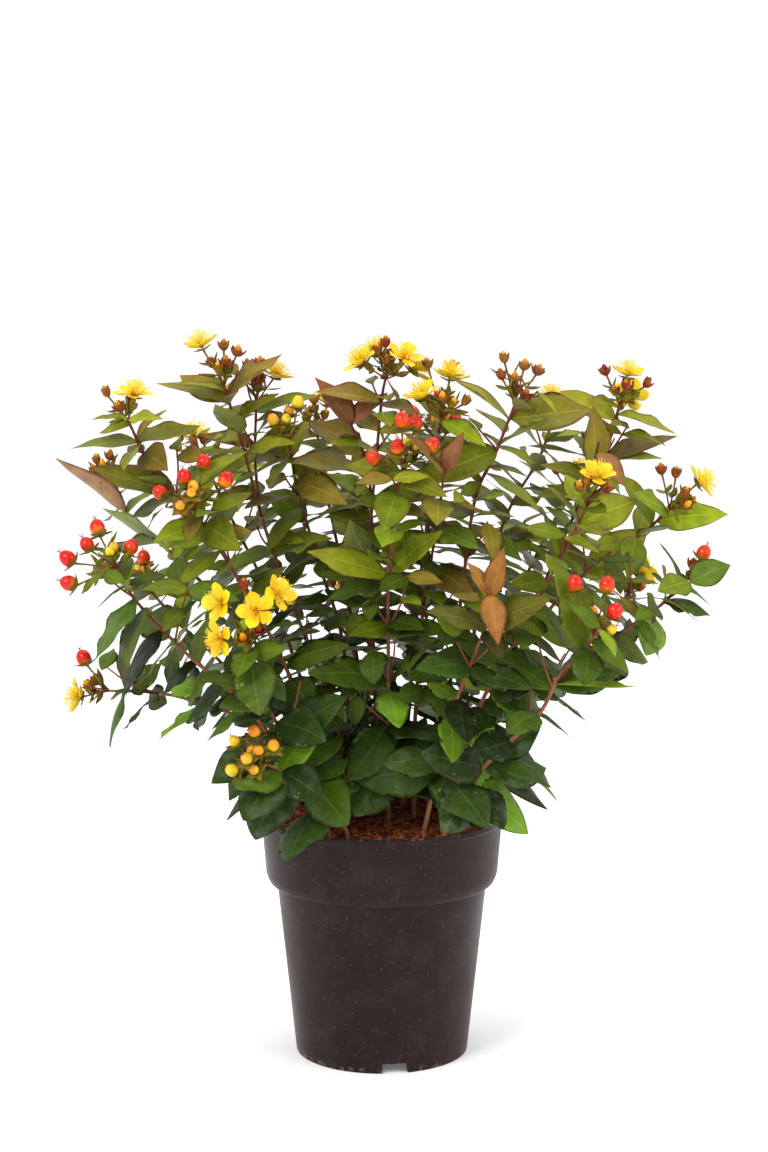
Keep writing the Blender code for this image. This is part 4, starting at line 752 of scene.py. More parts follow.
def add_egg(surface, place, direction, radius, length, rows, columns, colours, look, taper=0.16, lobes=0.0):
    """An egg that stands on a place. Gives its top.

    At a height of (1 - cos a) / 2 of its length, its radius is sin a times the widest, less the
    taper times the height from the middle, and lobes dent it three times round.
    """
    angle = np.linspace(0, math.pi, rows + 2)[1:-1, None]
    turn = np.arange(columns)[None, :] * math.tau / columns
    dents = 1 - lobes * np.abs(np.cos(1.5 * turn)) ** 6
    wide = radius * np.sin(angle) * (1 + taper * np.cos(angle)) * dents
    first, second = square_to(direction)
    height = (1 - np.cos(angle)) / 2 * length
    rings = (place + direction * height[..., None]
             + first * (wide * np.cos(turn))[..., None] + second * (wide * np.sin(turn))[..., None])
    top = place + direction * length
    surface.rings(rings, place, top, colours, look)
    return top


# Leaves

def leaf_tones(leaf, draw):
    """The upper, tip, edge and under colours of a leaf, made darker or lighter as painted light and shade, and
    its dust or, below nothing, its margin's red.
    """
    share = height_share(tip_of(leaf).z) + draw.uniform(-0.14, 0.14)
    is_low = share <= LOW_LEAF
    upper = np.array([np.interp(share, GREEN_HEIGHTS, channel) for channel in GREENS.T])
    red_tip = max(0.0, share - 0.45) * draw.uniform(0.2, 1.0)
    chance = draw.random()
    if is_low and chance < FRESH_CHANCE:
        upper = blend(upper, FRESH_GREEN, 0.8)
    elif not is_low and chance < BRIGHT_CHANCE:
        upper = blend(upper, BRIGHT_GREEN, 0.8)
    elif share > BRONZE_LEAF and chance < BRONZE_CHANCE:
        upper = blend(upper, BRONZE, 0.6)
    if leaf["shoot"] in YOUNG_SHOOTS and leaf["from_tip"] < YOUNG_REACH:
        upper = blend(YOUNG_ORANGE if leaf["shoot"] == "orange_pair" else YOUNG_BROWN, upper, 0.2)
        red_tip = 0.5
    elif leaf["shoot"] in YOUNG_SHOOTS and leaf["from_tip"] < BRONZE_REACH:
        upper = blend(upper, BRONZE, 0.35)
    # Painted light and shade, with some real tone: the whole leaf is made darker or lighter at random.
    upper = upper * draw.uniform(*(LOW_TONES_AND_PAINTED_LIGHTING if is_low else HIGH_TONES_AND_PAINTED_LIGHTING))
    tip = blend(upper, RED_BROWN, min(0.75, red_tip))
    edge = blend(upper, RED_BROWN, min(0.6, red_tip * 0.9))
    under = blend(upper, UNDERSIDE, 0.55 if share > 0.4 else 0.40)
    dust = max(0.0, 0.75 - share) * draw.uniform(0.2, 1.0)
    red_edge = max(0.0, share - 0.4) * draw.uniform(0.3, 1.4)
    return upper, tip, edge, under, dust - red_edge


def leaf_outline(t, sharp):
    """Half width over the widest along a leaf: a power of a power's sine, ovate and more or less sharp."""
    return np.sin(math.pi * t ** (0.86 - 0.12 * sharp)) ** (0.72 + 0.33 * sharp)


def upper_face(leaf):
    """The way out of a leaf's upper face: between the stalk's way and up, and square to the leaf."""
    axis = leaf["offset"].normalized()
    lean = leaf["stem"] * 0.55 + UP * 0.45
    face = lean - axis * lean.dot(axis)
    if face.length < FLAT_FACE:
        face = axis.cross(UP.cross(axis))
    return face.normalized()


def rolled_frame(leaf):
    """A leaf's face and side, rolled about its rib towards the light from outside the plant."""
    axis = leaf["offset"].normalized()
    outward = leaf["base"] + leaf["offset"] * 0.5
    outward.z = 0
    lean = upper_face(leaf) + outward.normalized() * leaf["roll"] + Vector(leaf["stray"]) + Vector(LIGHT_LEAN)
    lean -= axis * lean.dot(axis)
    face = lean.normalized()
    return np.array(face), np.array(axis.cross(face))


def leaf_grid(leaf, rows, columns):
    """Rings of a leaf, with v across it, the side it is on and t along it."""
    t = np.linspace(0, 1, rows)
    t = 0.99 * (0.45 * t + 0.55 * (1 - np.cos(math.pi * t)) / 2)
    base = np.array(leaf["base"])
    offset = np.array(leaf["offset"])
    face, side = rolled_frame(leaf)
    length = np.linalg.norm(offset)
    bend = leaf["bend"] * length
    rib = arched_rib(base, offset, face, leaf["arch"], t)
    rib += side * (bend * np.sin(math.pi * t))[:, None]
    rib -= face * (leaf["droop"] * length * t ** 3 * (1 - t))[:, None]
    half = length * leaf["width"] / 2
    widths = half * leaf_outline(t, leaf["sharp"]) + 0.0006 * (1 - t) ** 12
    thickness = 0.0003 + 0.0008 * np.exp(-t / 0.05)
    twist = leaf["twist"] * t
    sides = side * np.cos(twist)[:, None] + face * np.sin(twist)[:, None]
    ripple = (leaf["ripple"] * np.sin(t * leaf["ripples"] + leaf["phase"]))[:, None]
    rings, v, under = blade_rings(rib, sides, face, widths, thickness, leaf["fold"], ripple, columns)
    return rings, v, under, t


def add_leaf(surface, leaf, rows, columns):
    """A leaf's rings, coloured from foot to tip, more at the edge, and paler below."""
    rings, v, under, t = leaf_grid(leaf, rows, columns)
    upper, tip, edge, below, dust = leaf["tones"]
    colour = blend(upper, tip, (t[:, None] ** 2.2) * np.ones_like(v))
    colour = colour + (edge - upper) * (np.abs(v) ** 5 * (1 - under))[None, :, None]
    colour = colour + (below - colour) * under[None, :, None]
    colours = np.concatenate([colour, np.full(colour.shape[:2] + (1,), dust)], -1)
    colours[..., 3] *= 1 - under
    surface.blade(rings, np.array(tip_of(leaf)), colours, t, v, LEAF_LOOK)


def dress_leaf(leaf, plans, draw):
    """Gives a leaf its width, curl, ripple and colours."""
    share = min(1.0, max(0.0, height_share(tip_of(leaf).z)))
    leaf.update(
        from_tip=plans[leaf["shoot"]]["length"] - leaf["distance"],
        width=(LEAF_WIDTHS[0] + (LEAF_WIDTHS[1] - LEAF_WIDTHS[0]) * share) * draw.uniform(0.9, 1.1),
        sharp=min(1.0, max(0.0, 0.15 + share * 0.9 + draw.uniform(-0.25, 0.25))),
        roll=draw.uniform(0.15, 1.1),
        stray=[draw.gauss(0, 0.22) for axis in range(3)],
        bend=draw.uniform(-0.035, 0.035),
        droop=draw.uniform(0.0, 0.28),
        twist=draw.uniform(-0.35, 0.35),
        fold=LEAF_FOLDS[0] + (LEAF_FOLDS[1] - LEAF_FOLDS[0]) * share + draw.uniform(-0.1, 0.1),
        ripple=draw.uniform(0.03, 0.12),
        ripples=draw.uniform(8, 15),
        phase=draw.uniform(0, math.tau))
    leaf["tones"] = leaf_tones(leaf, draw)
    if leaf["shoot"] in YOUNG_SHOOTS and leaf["from_tip"] < YOUNG_REACH:
        leaf.update(width=0.47, roll=0.2, fold=0.36, sharp=1.0)


class Room:
    """Which small cells of the space round the plant are taken."""

    def __init__(self, low, high):
        self.low = low
        self.taken = np.zeros(np.ceil((high - low) / CELL).astype(int) + 3, dtype=bool)

    def cells(self, points):
        places = ((points - self.low) / CELL).astype(int) + 1
        return np.clip(places, 1, np.array(self.taken.shape) - 2)

    def take(self, points):
        for shift in CORNER_WAYS:
            x, y, z = self.cells(points.reshape(-1, 3) + shift * CELL * 0.42).T
            self.taken[x, y, z] = True

    def is_free(self, points):
        x, y, z = self.cells(points).T
        return not self.taken[x, y, z].any()


def leaf_probe(leaf, keep_off):
    """Points on a leaf that are further than keep_off from its root."""
    rings = leaf_grid(leaf, 15, 7)[0][:, :7].reshape(-1, 3)
    points = np.concatenate([rings, [np.array(tip_of(leaf))]])
    return points[np.linalg.norm(points - np.array(leaf["base"]), axis=1) > keep_off]


def fits(leaf, room, low, high):
    """Whether a leaf stays inside the plant's box, off the pot and off all that has been placed.

    It also stays off the photograph's view of the soil.
    """
    points = leaf_probe(leaf, ROOT_KEEP_OFF)
    if (points < low).any() or (points > high).any():
        return False
    inside_rim = np.linalg.norm(points[:, :2], axis=1) < RIM_RADIUS + RIM_KEEP_OFF
    if (points[inside_rim, 2] < POT_HEIGHT + TOP_KEEP_OFF).any():
        return False
    x, y, z = points.T
    sight_line = SOIL_TOP + (SOIL_VIEW_BACK - y) * SOIL_VIEW_SLOPE
    hides_soil = (np.abs(x - SOIL_VIEW_MIDDLE) < SOIL_VIEW_HALF) & (z < sight_line)
    return not hides_soil.any() and room.is_free(points)


def plan_twigs(plans, seated, room, low, high):
    """Short side twigs in the axils of the seated leaves, wherever there is room for one."""
    twigs = {}
    draw = random.Random(TWIG_SEED)
    for number, leaf in enumerate(seated):
        plan = plans[leaf["shoot"]]
        start, stem, radius = along(plan, leaf["distance"])
        share = height_share(start.z)
        length = draw.uniform(*TWIG_LENGTHS) * (1.1 - 0.5 * max(0, share))
        way = (leaf["offset"].normalized() * 0.75 + UP * 0.6 + stem * 0.4).normalized()
        stray = Vector([draw.uniform(-0.35, 0.35) for axis in range(3)])
        middle = start + (way + stray * 0.4).normalized() * length * 0.5
        end = middle + (way + UP * 0.25 + stray).normalized() * length * 0.5
        fine = np.array([tuple(point) for point in smooth_route([start, middle, end], 5)])
        inside = (fine[-1] > low + TWIG_KEEP_OFF).all() and (fine[-1] < high - TWIG_KEEP_OFF).all()
        inside = inside and start.z > TWIG_LOW
        if draw.random() < TWIG_SHARE and inside and room.is_free(fine[5:]):
            room.take(fine)
            twigs[f"twig {number}"] = dict(
                route=[start, middle, end], radii=[0.9, 0.75, 0.6], ends=(0.9, 0.6),
                owner=plan["owner"], fine=fine, length=length)
    return twigs


def wanted_filling(name, plan, seated, draw):
    """Pairs near the tip, then along the whole stalk, then small leaves in the axils of the seated ones."""
    phase = draw.uniform(0, math.pi)
    twig = name.startswith("twig")
    wanted = []
    near_tip = [plan["length"] - 0.0015] if twig else [plan["length"] - off for off in TIP_PAIRS]
    if name in YOUNG_SHOOTS:
        near_tip = []
    steps = [FIRST_FILL]
    while steps[-1] < plan["length"] - 0.004:
        steps.append(steps[-1] + draw.uniform(*FILL_STEPS))
    for distance in near_tip + steps[:-1]:
        phase += math.pi / 2 + draw.uniform(-0.4, 0.4)
        share = height_share(along(plan, distance)[0].z)
        if share < LOW_SHARE and draw.random() < LOW_BARE:
            continue
        size = (FILL_SIZES[0] + (FILL_SIZES[1] - FILL_SIZES[0]) * share) * draw.uniform(0.66, 1.12)
        rise = math.radians(-26 + 44 * share + draw.uniform(-20, 20))
        wanted += opposite_pair(name, plan, distance, phase, rise, size * (0.72 if twig else 1))
    for leaf in seated:
        if leaf["shoot"] == name:
            way = leaf["offset"].normalized() + UP * 0.9
            wanted.append(wanted_leaf(name, plan, leaf["distance"] + 0.002,
                                      way.normalized() * draw.uniform(*AXIL_SIZES), 0.08))
    return wanted


def filling_leaves(plans, seated, room, low, high):
    """Leaves that only the looks have, each changed a little until it fits between the others."""
    made = []
    for number, (name, plan) in enumerate(plans.items()):
        draw = random.Random(FILL_SEED + number)
        for leaf in wanted_filling(name, plan, seated, draw):
            dress_leaf(leaf, plans, draw)
            for change in FILL_CHANGES:
                tried = changed_leaf(leaf, change)
                if fits(tried, room, low, high):
                    room.take(leaf_probe(tried, ROOT_KEEP_OFF))
                    made.append(tried)
                    break
    return made


# Stalks, flowers, buds and berries

def add_stalk(surface, plan, leaves, name):
    """A tapering stalk with a small swelling where leaves grow, redder towards its tip."""
    path = plan["fine"]
    if plan["owner"] == name:
        path = np.concatenate([[path[0] - [0, 0, depth] for depth in STALK_DEPTHS], path])
    steps = np.concatenate([[0], np.cumsum(np.linalg.norm(np.diff(path, axis=0), axis=1))])
    fine = np.linspace(0, steps[-1], max(12, int(steps[-1] / STALK_STEP)))
    path = np.stack([np.interp(fine, steps, path[:, k]) for k in range(3)], -1)
    thick, thin = plan["ends"]
    radii = (thick + (thin - thick) * fine / fine[-1]) * MM
    start = fine[-1] - plan["length"]
    for distance in {round(leaf["distance"], 4) for leaf in leaves}:
        radii = radii * (1 + SWELLING * np.exp(-((fine - start - distance) / SWELLING_REACH) ** 2))
    share = np.clip(height_share(path[:, 2]), 0, 1)
    colour = np.stack([np.interp(share, (0, 0.45, 1), channel) for channel in STALK_TONES.T], -1)
    tube(surface, path, radii, 9, clean(colour), STALK_LOOK)


def add_pedicel(surface, start, end, heading):
    """A thin stalk that bows a little from one end to the other."""
    t = np.linspace(0, 1, 7)[:, None]
    middle = (start + end) / 2 + (heading - unit(end - start) * (heading @ unit(end - start))) * 0.0009
    radii = PEDICEL_RADIUS * MM * (1 + 0.5 * t[:, 0] ** 6)
    tube(surface, bezier(start, middle, end, t), radii, 7, clean(blend(*PEDICEL_TONES, t[:, 0])), STALK_LOOK)


def add_sepals(surface, place, facing, length, width, rise, tones, draw, cup=0.25, arch=0.08, count=5):
    """Pointed sepals round a place, each a small blade that leaves it at a rise."""
    directions = square_to(facing)
    spin = draw.uniform(0, math.tau)
    t = np.linspace(0, 0.96, 7)
    widths = width / 2 * np.sin(math.pi * t ** 0.75) ** 0.8 + 0.0004 * (1 - t) ** 6
    for k in range(count):
        outward = around(directions, spin + k * math.tau / count + draw.uniform(-0.12, 0.12))
        slope = rise + draw.uniform(-0.12, 0.12)
        offset = (outward * math.cos(slope) + facing * math.sin(slope)) * length * draw.uniform(0.88, 1.08)
        axis = unit(offset)
        face = unit(facing - axis * (facing @ axis))
        rib = arched_rib(place + outward * 0.0006, offset, face, -arch, t)
        side = np.broadcast_to(np.cross(axis, face), rib.shape)
        rings, v, under = blade_rings(
            rib, side, face, widths, np.full(len(t), 0.0004), cup, np.zeros((len(t), 1)), 5)
        colours = clean(np.broadcast_to(blend(*tones, t)[:, None], rings.shape))
        surface.blade(rings, place + outward * 0.0006 + offset, colours, t, v, SEPAL_LOOK)


def add_bracts(surface, start, end, draw):
    """A pair of small green blades part of the way up a flower's stalk."""
    if np.linalg.norm(end - start) > SHORT_PEDICEL:
        place = start + (end - start) * draw.uniform(0.3, 0.6)
        tones = (SEPAL_GREEN, blend(SEPAL_GREEN, SEPAL_RED, draw.uniform(0, 0.7)))
        add_sepals(surface, place, unit(end - start), draw.uniform(0.009, 0.016), draw.uniform(0.004, 0.0065),
                   math.radians(draw.uniform(25, 50)), tones, draw, cup=0.3, arch=0.1, count=2)


def take_head(room, head):
    """Takes the room of a head and of its stalk."""
    reach = 0.008 if head["kind"] == "flowers" else 0.0035
    for share in (1, 0.5):
        room.take(head["place"] + head["facing"] * 0.005 + CORNER_WAYS * reach * share)
    t = np.linspace(0, 1, 10)[:, None]
    room.take(head["tip"] * (1 - t) + head["place"] * t)


def extra_heads(heads, room, low, high):
    """Buds beside the seated flowers and buds, and unripe berries in the bunches, wherever there is room."""
    draw = random.Random(BUD_SEED)
    made = []
    for name in sorted({head["shoot"] for head in heads}):
        first = next(head for head in heads if head["shoot"] == name)
        kind = "berries" if in_bunch(first) else "buds"
        directions = square_to(first["heading"])
        count = 0
        for attempt in range(EXTRA_TRIES):
            outward = around(directions, draw.uniform(0, math.tau))
            offset = first["heading"] * draw.uniform(0.007, 0.017) + outward * draw.uniform(0.003, 0.010)
            place = first["tip"] + offset
            facing = unit(unit(offset) + np.array([0, 0, 0.6]))
            end = place + facing * (BUD_LENGTH + 0.001)
            clear = room.is_free(np.array([place, end, place + facing * 0.004]))
            if clear and (end > low).all() and (end < high - 0.003).all():
                extra = dict(first, kind=kind, index=-1, place=place, facing=facing)
                take_head(room, extra)
                made.append(extra)
                count += 1
            if count == EXTRA_HEADS:
                break
    return made


def add_bud(surface, head, draw):
    """A pointed bud, golden or dark red, wrapped in broad red sepals that part round its tip."""
    facing = head["facing"]
    place = head["place"] - facing * 0.001
    ripe = draw.random() ** 0.7
    rise = np.linspace(0, 1, BUD_ROWS)
    colour = blend(blend(*BUD_TONES, ripe), YELLOW_TIP, np.clip(rise * 1.6 - 0.75, 0, 1) * (1 - ripe) ** 0.5)
    add_egg(surface, place, facing, BUD_RADIUS, BUD_LENGTH * 1.12, BUD_ROWS, 12, clean(colour)[:, None],
            SEPAL_LOOK, taper=0.30, lobes=0.05)
    tones = (blend(SEPAL_GREEN, SEPAL_RED, 0.25 + ripe * 0.75),
             blend(SEPAL_RED, SEPAL_GREEN, draw.uniform(0, 0.6)))
    add_sepals(surface, place + facing * 0.0004, facing, 0.0084, 0.0058, math.radians(draw.uniform(50, 76)),
               tones, draw, cup=0.55, arch=0.20)


def add_berry(surface, head, amber, draw):
    """A three-lobed glossy berry on reflexed sepals, with the dry ends of its styles on top."""
    place, facing = head["place"], head["facing"]
    unripe = head["index"] < 0
    amber = amber or unripe
    scale = draw.uniform(0.90, 1.04) - 0.20 * amber - 0.10 * unripe
    rise = (1 - np.cos(np.linspace(0, math.pi, BERRY_ROWS + 2)[1:-1])) / 2
    low, high = AMBER_TONES if amber else RED_TONES
    ripe = draw.uniform(0.0, 0.8) if amber else draw.uniform(0.88, 1.0)
    reach = draw.uniform(1.3, 2.2) if amber else draw.uniform(1.6, 5.0)
    colour = blend(low, blend(low, high, ripe), np.clip(rise * reach - 0.15, 0, 1))
    top = add_egg(surface, place, facing, BERRY_RADIUS * scale * 1.06, BERRY_LENGTH * scale * 0.94,
                  BERRY_ROWS, 18, clean(colour)[:, None], BERRY_LOOK, taper=0.10, lobes=0.03)
    spin = draw.uniform(0, math.tau)
    t = np.linspace(0, 1, 5)[:, None]
    for k in range(3):
        outward = around(square_to(facing), spin + k * math.tau / 3)
        path = top - facing * 0.0006 + facing * 0.0034 * t + outward * 0.0022 * t ** 2
        tube(surface, path, 0.00028 * (1.2 - 0.6 * t[:, 0]), 5, clean(STYLE_TONE), STALK_LOOK)
    tones = (SEPAL_GREEN, blend(SEPAL_GREEN, SEPAL_RED, draw.uniform(0.2, 0.9)))
    add_sepals(surface, place - facing * 0.0002, facing, 0.0098, 0.0066, math.radians(draw.uniform(2, 24)),
               tones, draw, cup=0.2, arch=0.05)


def add_petal(surface, place, facing, outward, draw):
    """A broad round blade, cupped and a little rippled."""
    rise = PETAL_RISE + draw.uniform(-0.34, 0.18)
    length = PETAL_LENGTH * draw.uniform(1.04, 1.16)
    offset = (outward * math.cos(rise) + facing * math.sin(rise)) * length
    axis = unit(offset)
    face = unit(facing - axis * (facing @ axis))
    foot = place + facing * CORE_HEIGHT * 0.3 + outward * CORE_RADIUS * 0.4
    t = np.linspace(0, 0.985, 13)
    rib = arched_rib(foot, offset, face, draw.uniform(-0.18, 0.12), t)
    widths = PETAL_HALF_WIDTH * 1.22 * np.sin(math.pi * t ** 1.5) ** 0.62 + 0.0006 * (1 - t) ** 8
    side = np.broadcast_to(np.cross(axis, face), rib.shape)
    ripple = (0.07 * np.sin(t * 8 + draw.uniform(0, 6)))[:, None]
    rings, v, under = blade_rings(rib, side, face, widths, np.full(len(t), 0.0003), 0.30, ripple, 9)
    colour = blend(*PETAL_TONES, np.clip(t * 2.2, 0, 1))[:, None] * np.ones((1, len(v), 1))
    # Painted shade: the petal's underside is made a tenth darker.
    colour = colour * (1 - 0.10 * under)[None, :, None]
    surface.blade(rings, foot + offset, clean(colour), t, v, PETAL_LOOK)


def add_flower(surface, head, draw):
    """Five cupped petals, many fine stamens with anthers, and an ovary with its styles."""
    facing = head["facing"]
    place = head["place"] + facing * GAP
    directions = cad_square_to(facing)
    for k in range(PETAL_COUNT):
        outward = around(directions, (k + 0.5) * math.tau / PETAL_COUNT + draw.uniform(-0.08, 0.08))
        add_petal(surface, place, facing, outward, draw)
    t = np.linspace(0, 1, 4)[:, None]
    for k in range(FINE_STAMENS):
        outward = around(directions, draw.uniform(0, math.tau))
        lean = math.radians(draw.uniform(4, 72))
        length = draw.uniform(0.0085, 0.0128)
        way = outward * math.sin(lean) + facing * math.cos(lean)
        foot = place + facing * CORE_HEIGHT * 0.5 + outward * CORE_RADIUS * 0.55
        path = foot + way * length * t + facing * 0.0012 * np.sin(t * math.pi)
        tube(surface, path, 0.00016, 3, clean(STAMEN_TONE), STAMEN_LOOK)
        add_egg(surface, path[-1] - way * 0.0003, way, 0.00042, 0.0011, 1, 4, clean(ANTHER_TONE), STAMEN_LOOK)
    ovary = OVARY_TONES[0] if draw.random() < 0.6 else OVARY_TONES[1]
    top = add_egg(surface, place, facing, CORE_RADIUS, 0.0058, 8, 10, clean(ovary), OVARY_LOOK,
                  taper=0.1, lobes=0.06)
    for k in range(3):
        outward = around(directions, k * math.tau / 3)
        path = top - facing * 0.0008 + facing * 0.0042 * t + outward * 0.0026 * t ** 1.5
        tube(surface, path, 0.0002, 4, clean(STAMEN_TONE), STAMEN_LOOK)


def cad_square_to(direction):
    """The two directions that the petals of a flower's solid are turned from."""
    turn = Vector(direction).to_track_quat("Z", "Y").to_matrix()
    return np.array(turn.col[0]), np.array(turn.col[1])


# Pot and soil

def lathe(surface, profile, angles, lift):
    """A closed profile of radius and height carried round the pot's axis, lifted at its notches."""
    radius, height = np.array(profile).T
    rings = np.stack([radius[:, None] * np.cos(angles), radius[:, None] * np.sin(angles),
                      np.broadcast_to(height[:, None], (len(radius), len(angles)))], -1)
    rings[..., 2] = np.maximum(rings[..., 2], lift[None, :] * (rings[..., 2] < NOTCH_HEIGHT))
    start, end = ([0, 0, ring[:, 2].mean()] for ring in (rings[0], rings[-1]))
    surface.rings(rings, start, end, clean(CHARCOAL), 0)


def rounded(points, radii):
    """A profile whose inner corners are rounded."""
    points = [np.array(point, dtype=float) for point in points]
    t = np.linspace(0, 1, 4)[:, None]
    made = [points[0]]
    for low, corner, high, radius in zip(points, points[1:], points[2:], radii):
        ends = corner + unit(low - corner) * radius, corner + unit(high - corner) * radius
        made += list(bezier(ends[0], corner, ends[1], t)) if radius else [corner]
    return made + [points[-1]]


def make_pot():
    """A turned shell from the middle of its underside, out and up its wall, over the rim and down inside."""
    collar_low = POT_HEIGHT - COLLAR_HEIGHT
    plate = FOOT_HEIGHT - FLOOR_THICKNESS
    inner_foot = FOOT_RADIUS - FOOT_WIDTH
    corners = [
        ((0.0002, plate), 0), ((inner_foot, plate), 0.0005), ((inner_foot, 0.0), 0.0005),
        ((FOOT_RADIUS, 0.0), 0.0006),
        ((FOOT_RADIUS + (BODY_TOP_RADIUS - FOOT_RADIUS) * NOTCH_HEIGHT / collar_low, NOTCH_HEIGHT), 0),
        ((BODY_TOP_RADIUS, collar_low - 0.0015), 0.0012),
        ((COLLAR_LOW_RADIUS - 0.0028, collar_low - 0.0005), 0.0020),
        ((COLLAR_LOW_RADIUS, collar_low + 0.006), 0.0030),
        ((RIM_RADIUS - LIP_STEP, POT_HEIGHT - LIP_HEIGHT - 0.0012), 0.0006),
        ((RIM_RADIUS, POT_HEIGHT - LIP_HEIGHT), 0.0008), ((RIM_RADIUS, POT_HEIGHT), 0.0010),
        ((RIM_RADIUS - 0.0030, POT_HEIGHT), 0.0008),
        ((COLLAR_LOW_RADIUS - WALL - 0.001, collar_low + 0.004), 0.002),
        ((BODY_TOP_RADIUS - WALL, collar_low + 0.001), 0.002), ((FOOT_RADIUS - WALL, FOOT_HEIGHT), 0.002),
        ((0.0002, FOOT_HEIGHT), 0)]
    profile = rounded([place for place, radius in corners], [radius for place, radius in corners[1:-1]])
    half = math.asin(NOTCH_WIDTH / 2 / FOOT_RADIUS)
    centres = FIRST_NOTCH_TURN + np.arange(NOTCH_COUNT) * math.tau / NOTCH_COUNT
    edges = np.concatenate([centres + side * reach for side in (-1, 1) for reach in (half, half - NOTCH_EDGE)])
    angles = np.sort(np.concatenate([np.arange(POT_SIDES) * math.tau / POT_SIDES + 0.003, edges % math.tau]))
    away = np.abs((angles[:, None] - centres[None, :] + math.pi) % math.tau - math.pi).min(axis=1)
    surface = Surface()
    lathe(surface, profile, angles, np.where(away < half - NOTCH_EDGE / 2, NOTCH_HEIGHT, 0.0))
    pot = surface.piece("moulded_pot", [pot_material()], sharp=38)
    cut_drain_holes(pot)
    return pot


def cut_drain_holes(pot):
    """Round holes through the floor of the pot."""
    surface = Surface()
    for k in range(DRAIN_COUNT):
        turn = k * math.tau / DRAIN_COUNT
        place = np.array([DRAIN_RING * math.cos(turn), DRAIN_RING * math.sin(turn), 0])
        tube(surface, place + np.array([[0, 0, 0.005], [0, 0, 0.016]]), DRAIN_RADIUS, 24, clean(CHARCOAL), 0)
    cutter = surface.piece("drain cutter", [pot.data.materials[0]])
    step = pot.modifiers.new("drain holes", "BOOLEAN")
    step.object = cutter
    step.operation = "DIFFERENCE"
    step.solver = "EXACT"
    bpy.context.view_layer.update()
    cut = bpy.data.meshes.new_from_object(pot.evaluated_get(bpy.context.evaluated_depsgraph_get()))
    pot.modifiers.clear()
    pot.data = cut
    bpy.data.objects.remove(cutter, do_unlink=True)


def smooth_noise(x, y, size, seed):
    """Values from -1 to 1 that change smoothly over a given size: random corners of a grid, eased between."""
    table = np.random.default_rng(seed).uniform(-1, 1, (64, 64))
    x = x / size
    y = y / size
    i = np.floor(x).astype(int)
    j = np.floor(y).astype(int)
    u = x - i
    v = y - j
    u = u * u * (3 - 2 * u)
    v = v * v * (3 - 2 * v)
    low = table[i % 64, j % 64] * (1 - u) + table[(i + 1) % 64, j % 64] * u
    high = table[i % 64, (j + 1) % 64] * (1 - u) + table[(i + 1) % 64, (j + 1) % 64] * u
    return low * (1 - v) + high * v


def soil_height(x, y):
    """A low mound with small waves and crumbs, in metres."""
    mound = SOIL_MOUND * (1 - (x * x + y * y) / RIM_RADIUS ** 2)
    waves = np.sin(x * 190 + 1.3) * np.cos(y * 160 - 0.4) + 0.5 * np.sin(x * 330 - y * 290)
    crumbs = (0.0009 * smooth_noise(x, y, 0.007, 1) + 0.0007 * smooth_noise(x, y, 0.0031, 2)
              + 0.0004 * smooth_noise(x, y, 0.0015, 3))
    return SOIL_TOP + mound + SOIL_WAVE * waves + crumbs


def make_soil():
    """The top is a height over a disc; rings run from the bottom's middle up the side and to the centre."""
    angles = np.arange(SOIL_SIDES) * math.tau / SOIL_SIDES
    edge = COLLAR_LOW_RADIUS - WALL + 0.0013
    low = np.array([(0.001, SOIL_FLOOR), (FOOT_RADIUS - WALL - 0.0006, SOIL_FLOOR),
                    (BODY_TOP_RADIUS - WALL - 0.0006, 0.1365), (COLLAR_LOW_RADIUS - WALL - 0.0018, 0.1402)])
    radii = np.concatenate([low[:, 0], edge - (np.linspace(0, 1, SOIL_RINGS)[:-1]) * (edge - 0.0008)])
    x = radii[:, None] * np.cos(angles)
    y = radii[:, None] * np.sin(angles)
    z = soil_height(x, y)
    z[:4] = low[:, 1:]
    patch = smooth_noise(x, y, 0.012, 5) * 0.5 + smooth_noise(x, y, 0.003, 6) * 0.5
    colour = blend(COIR_TONES[1], COIR_TONES[2], np.clip(patch, 0, 1))
    dark = np.clip(-patch, 0, 1)[..., None]
    colour = colour * (1 - dark) + COIR_TONES[0] * dark
    middle = float(soil_height(np.zeros(1), np.zeros(1))[0])
    surface = Surface()
    surface.rings(np.stack([x, y, z], -1), [0, 0, SOIL_FLOOR], [0, 0, middle], clean(colour), 0)
    add_crumbs(surface)
    add_fibres(surface)
    return surface.piece("coir_soil", [soil_material()])


def add_crumbs(surface):
    """Small lumps: six-cornered solids whose corners are drawn out at random."""
    draw = np.random.default_rng(11)
    corners = np.array([[1, 0, 0], [0, 1, 0], [-1, 0, 0], [0, -1, 0], [0, 0, 1], [0, 0, -1]], dtype=float)
    sides = np.array([[0, 1, 4], [1, 2, 4], [2, 3, 4], [3, 0, 4], [1, 0, 5], [2, 1, 5], [3, 2, 5], [0, 3, 5]])
    radius = np.sqrt(draw.uniform(0, 1, CRUMBS)) * 0.0885
    turn = draw.uniform(0, math.tau, CRUMBS)
    x = radius * np.cos(turn)
    y = radius * np.sin(turn)
    size = 0.0007 + 0.0030 * draw.uniform(0, 1, CRUMBS) ** 2
    places = np.stack([x, y, soil_height(x, y) + size * 0.25], -1)
    spin = draw.uniform(0, math.tau, CRUMBS)[:, None]
    points = corners[None] * (draw.uniform(0.55, 1.35, (CRUMBS, 6, 1)) * size[:, None, None])
    across, along_turn, height = points[..., 0], points[..., 1], points[..., 2] * 0.7
    turned = np.stack([across * np.cos(spin) - along_turn * np.sin(spin),
                       across * np.sin(spin) + along_turn * np.cos(spin), height], -1) + places[:, None]
    faces = (sides[None] + np.arange(CRUMBS)[:, None, None] * 6).reshape(-1, 3)
    faces = np.concatenate([faces, np.full((len(faces), 1), -1)], -1)
    share = draw.uniform(0, 1, (CRUMBS, 1))
    colour = np.where(share < 0.3, COIR_TONES[0], np.where(share < 0.8, COIR_TONES[1], COIR_TONES[2]))
    colours = np.repeat(clean(colour), 6, axis=0)
    surface.add(turned.reshape(-1, 3), faces, colours, np.zeros((CRUMBS * 6, 2)), 0)


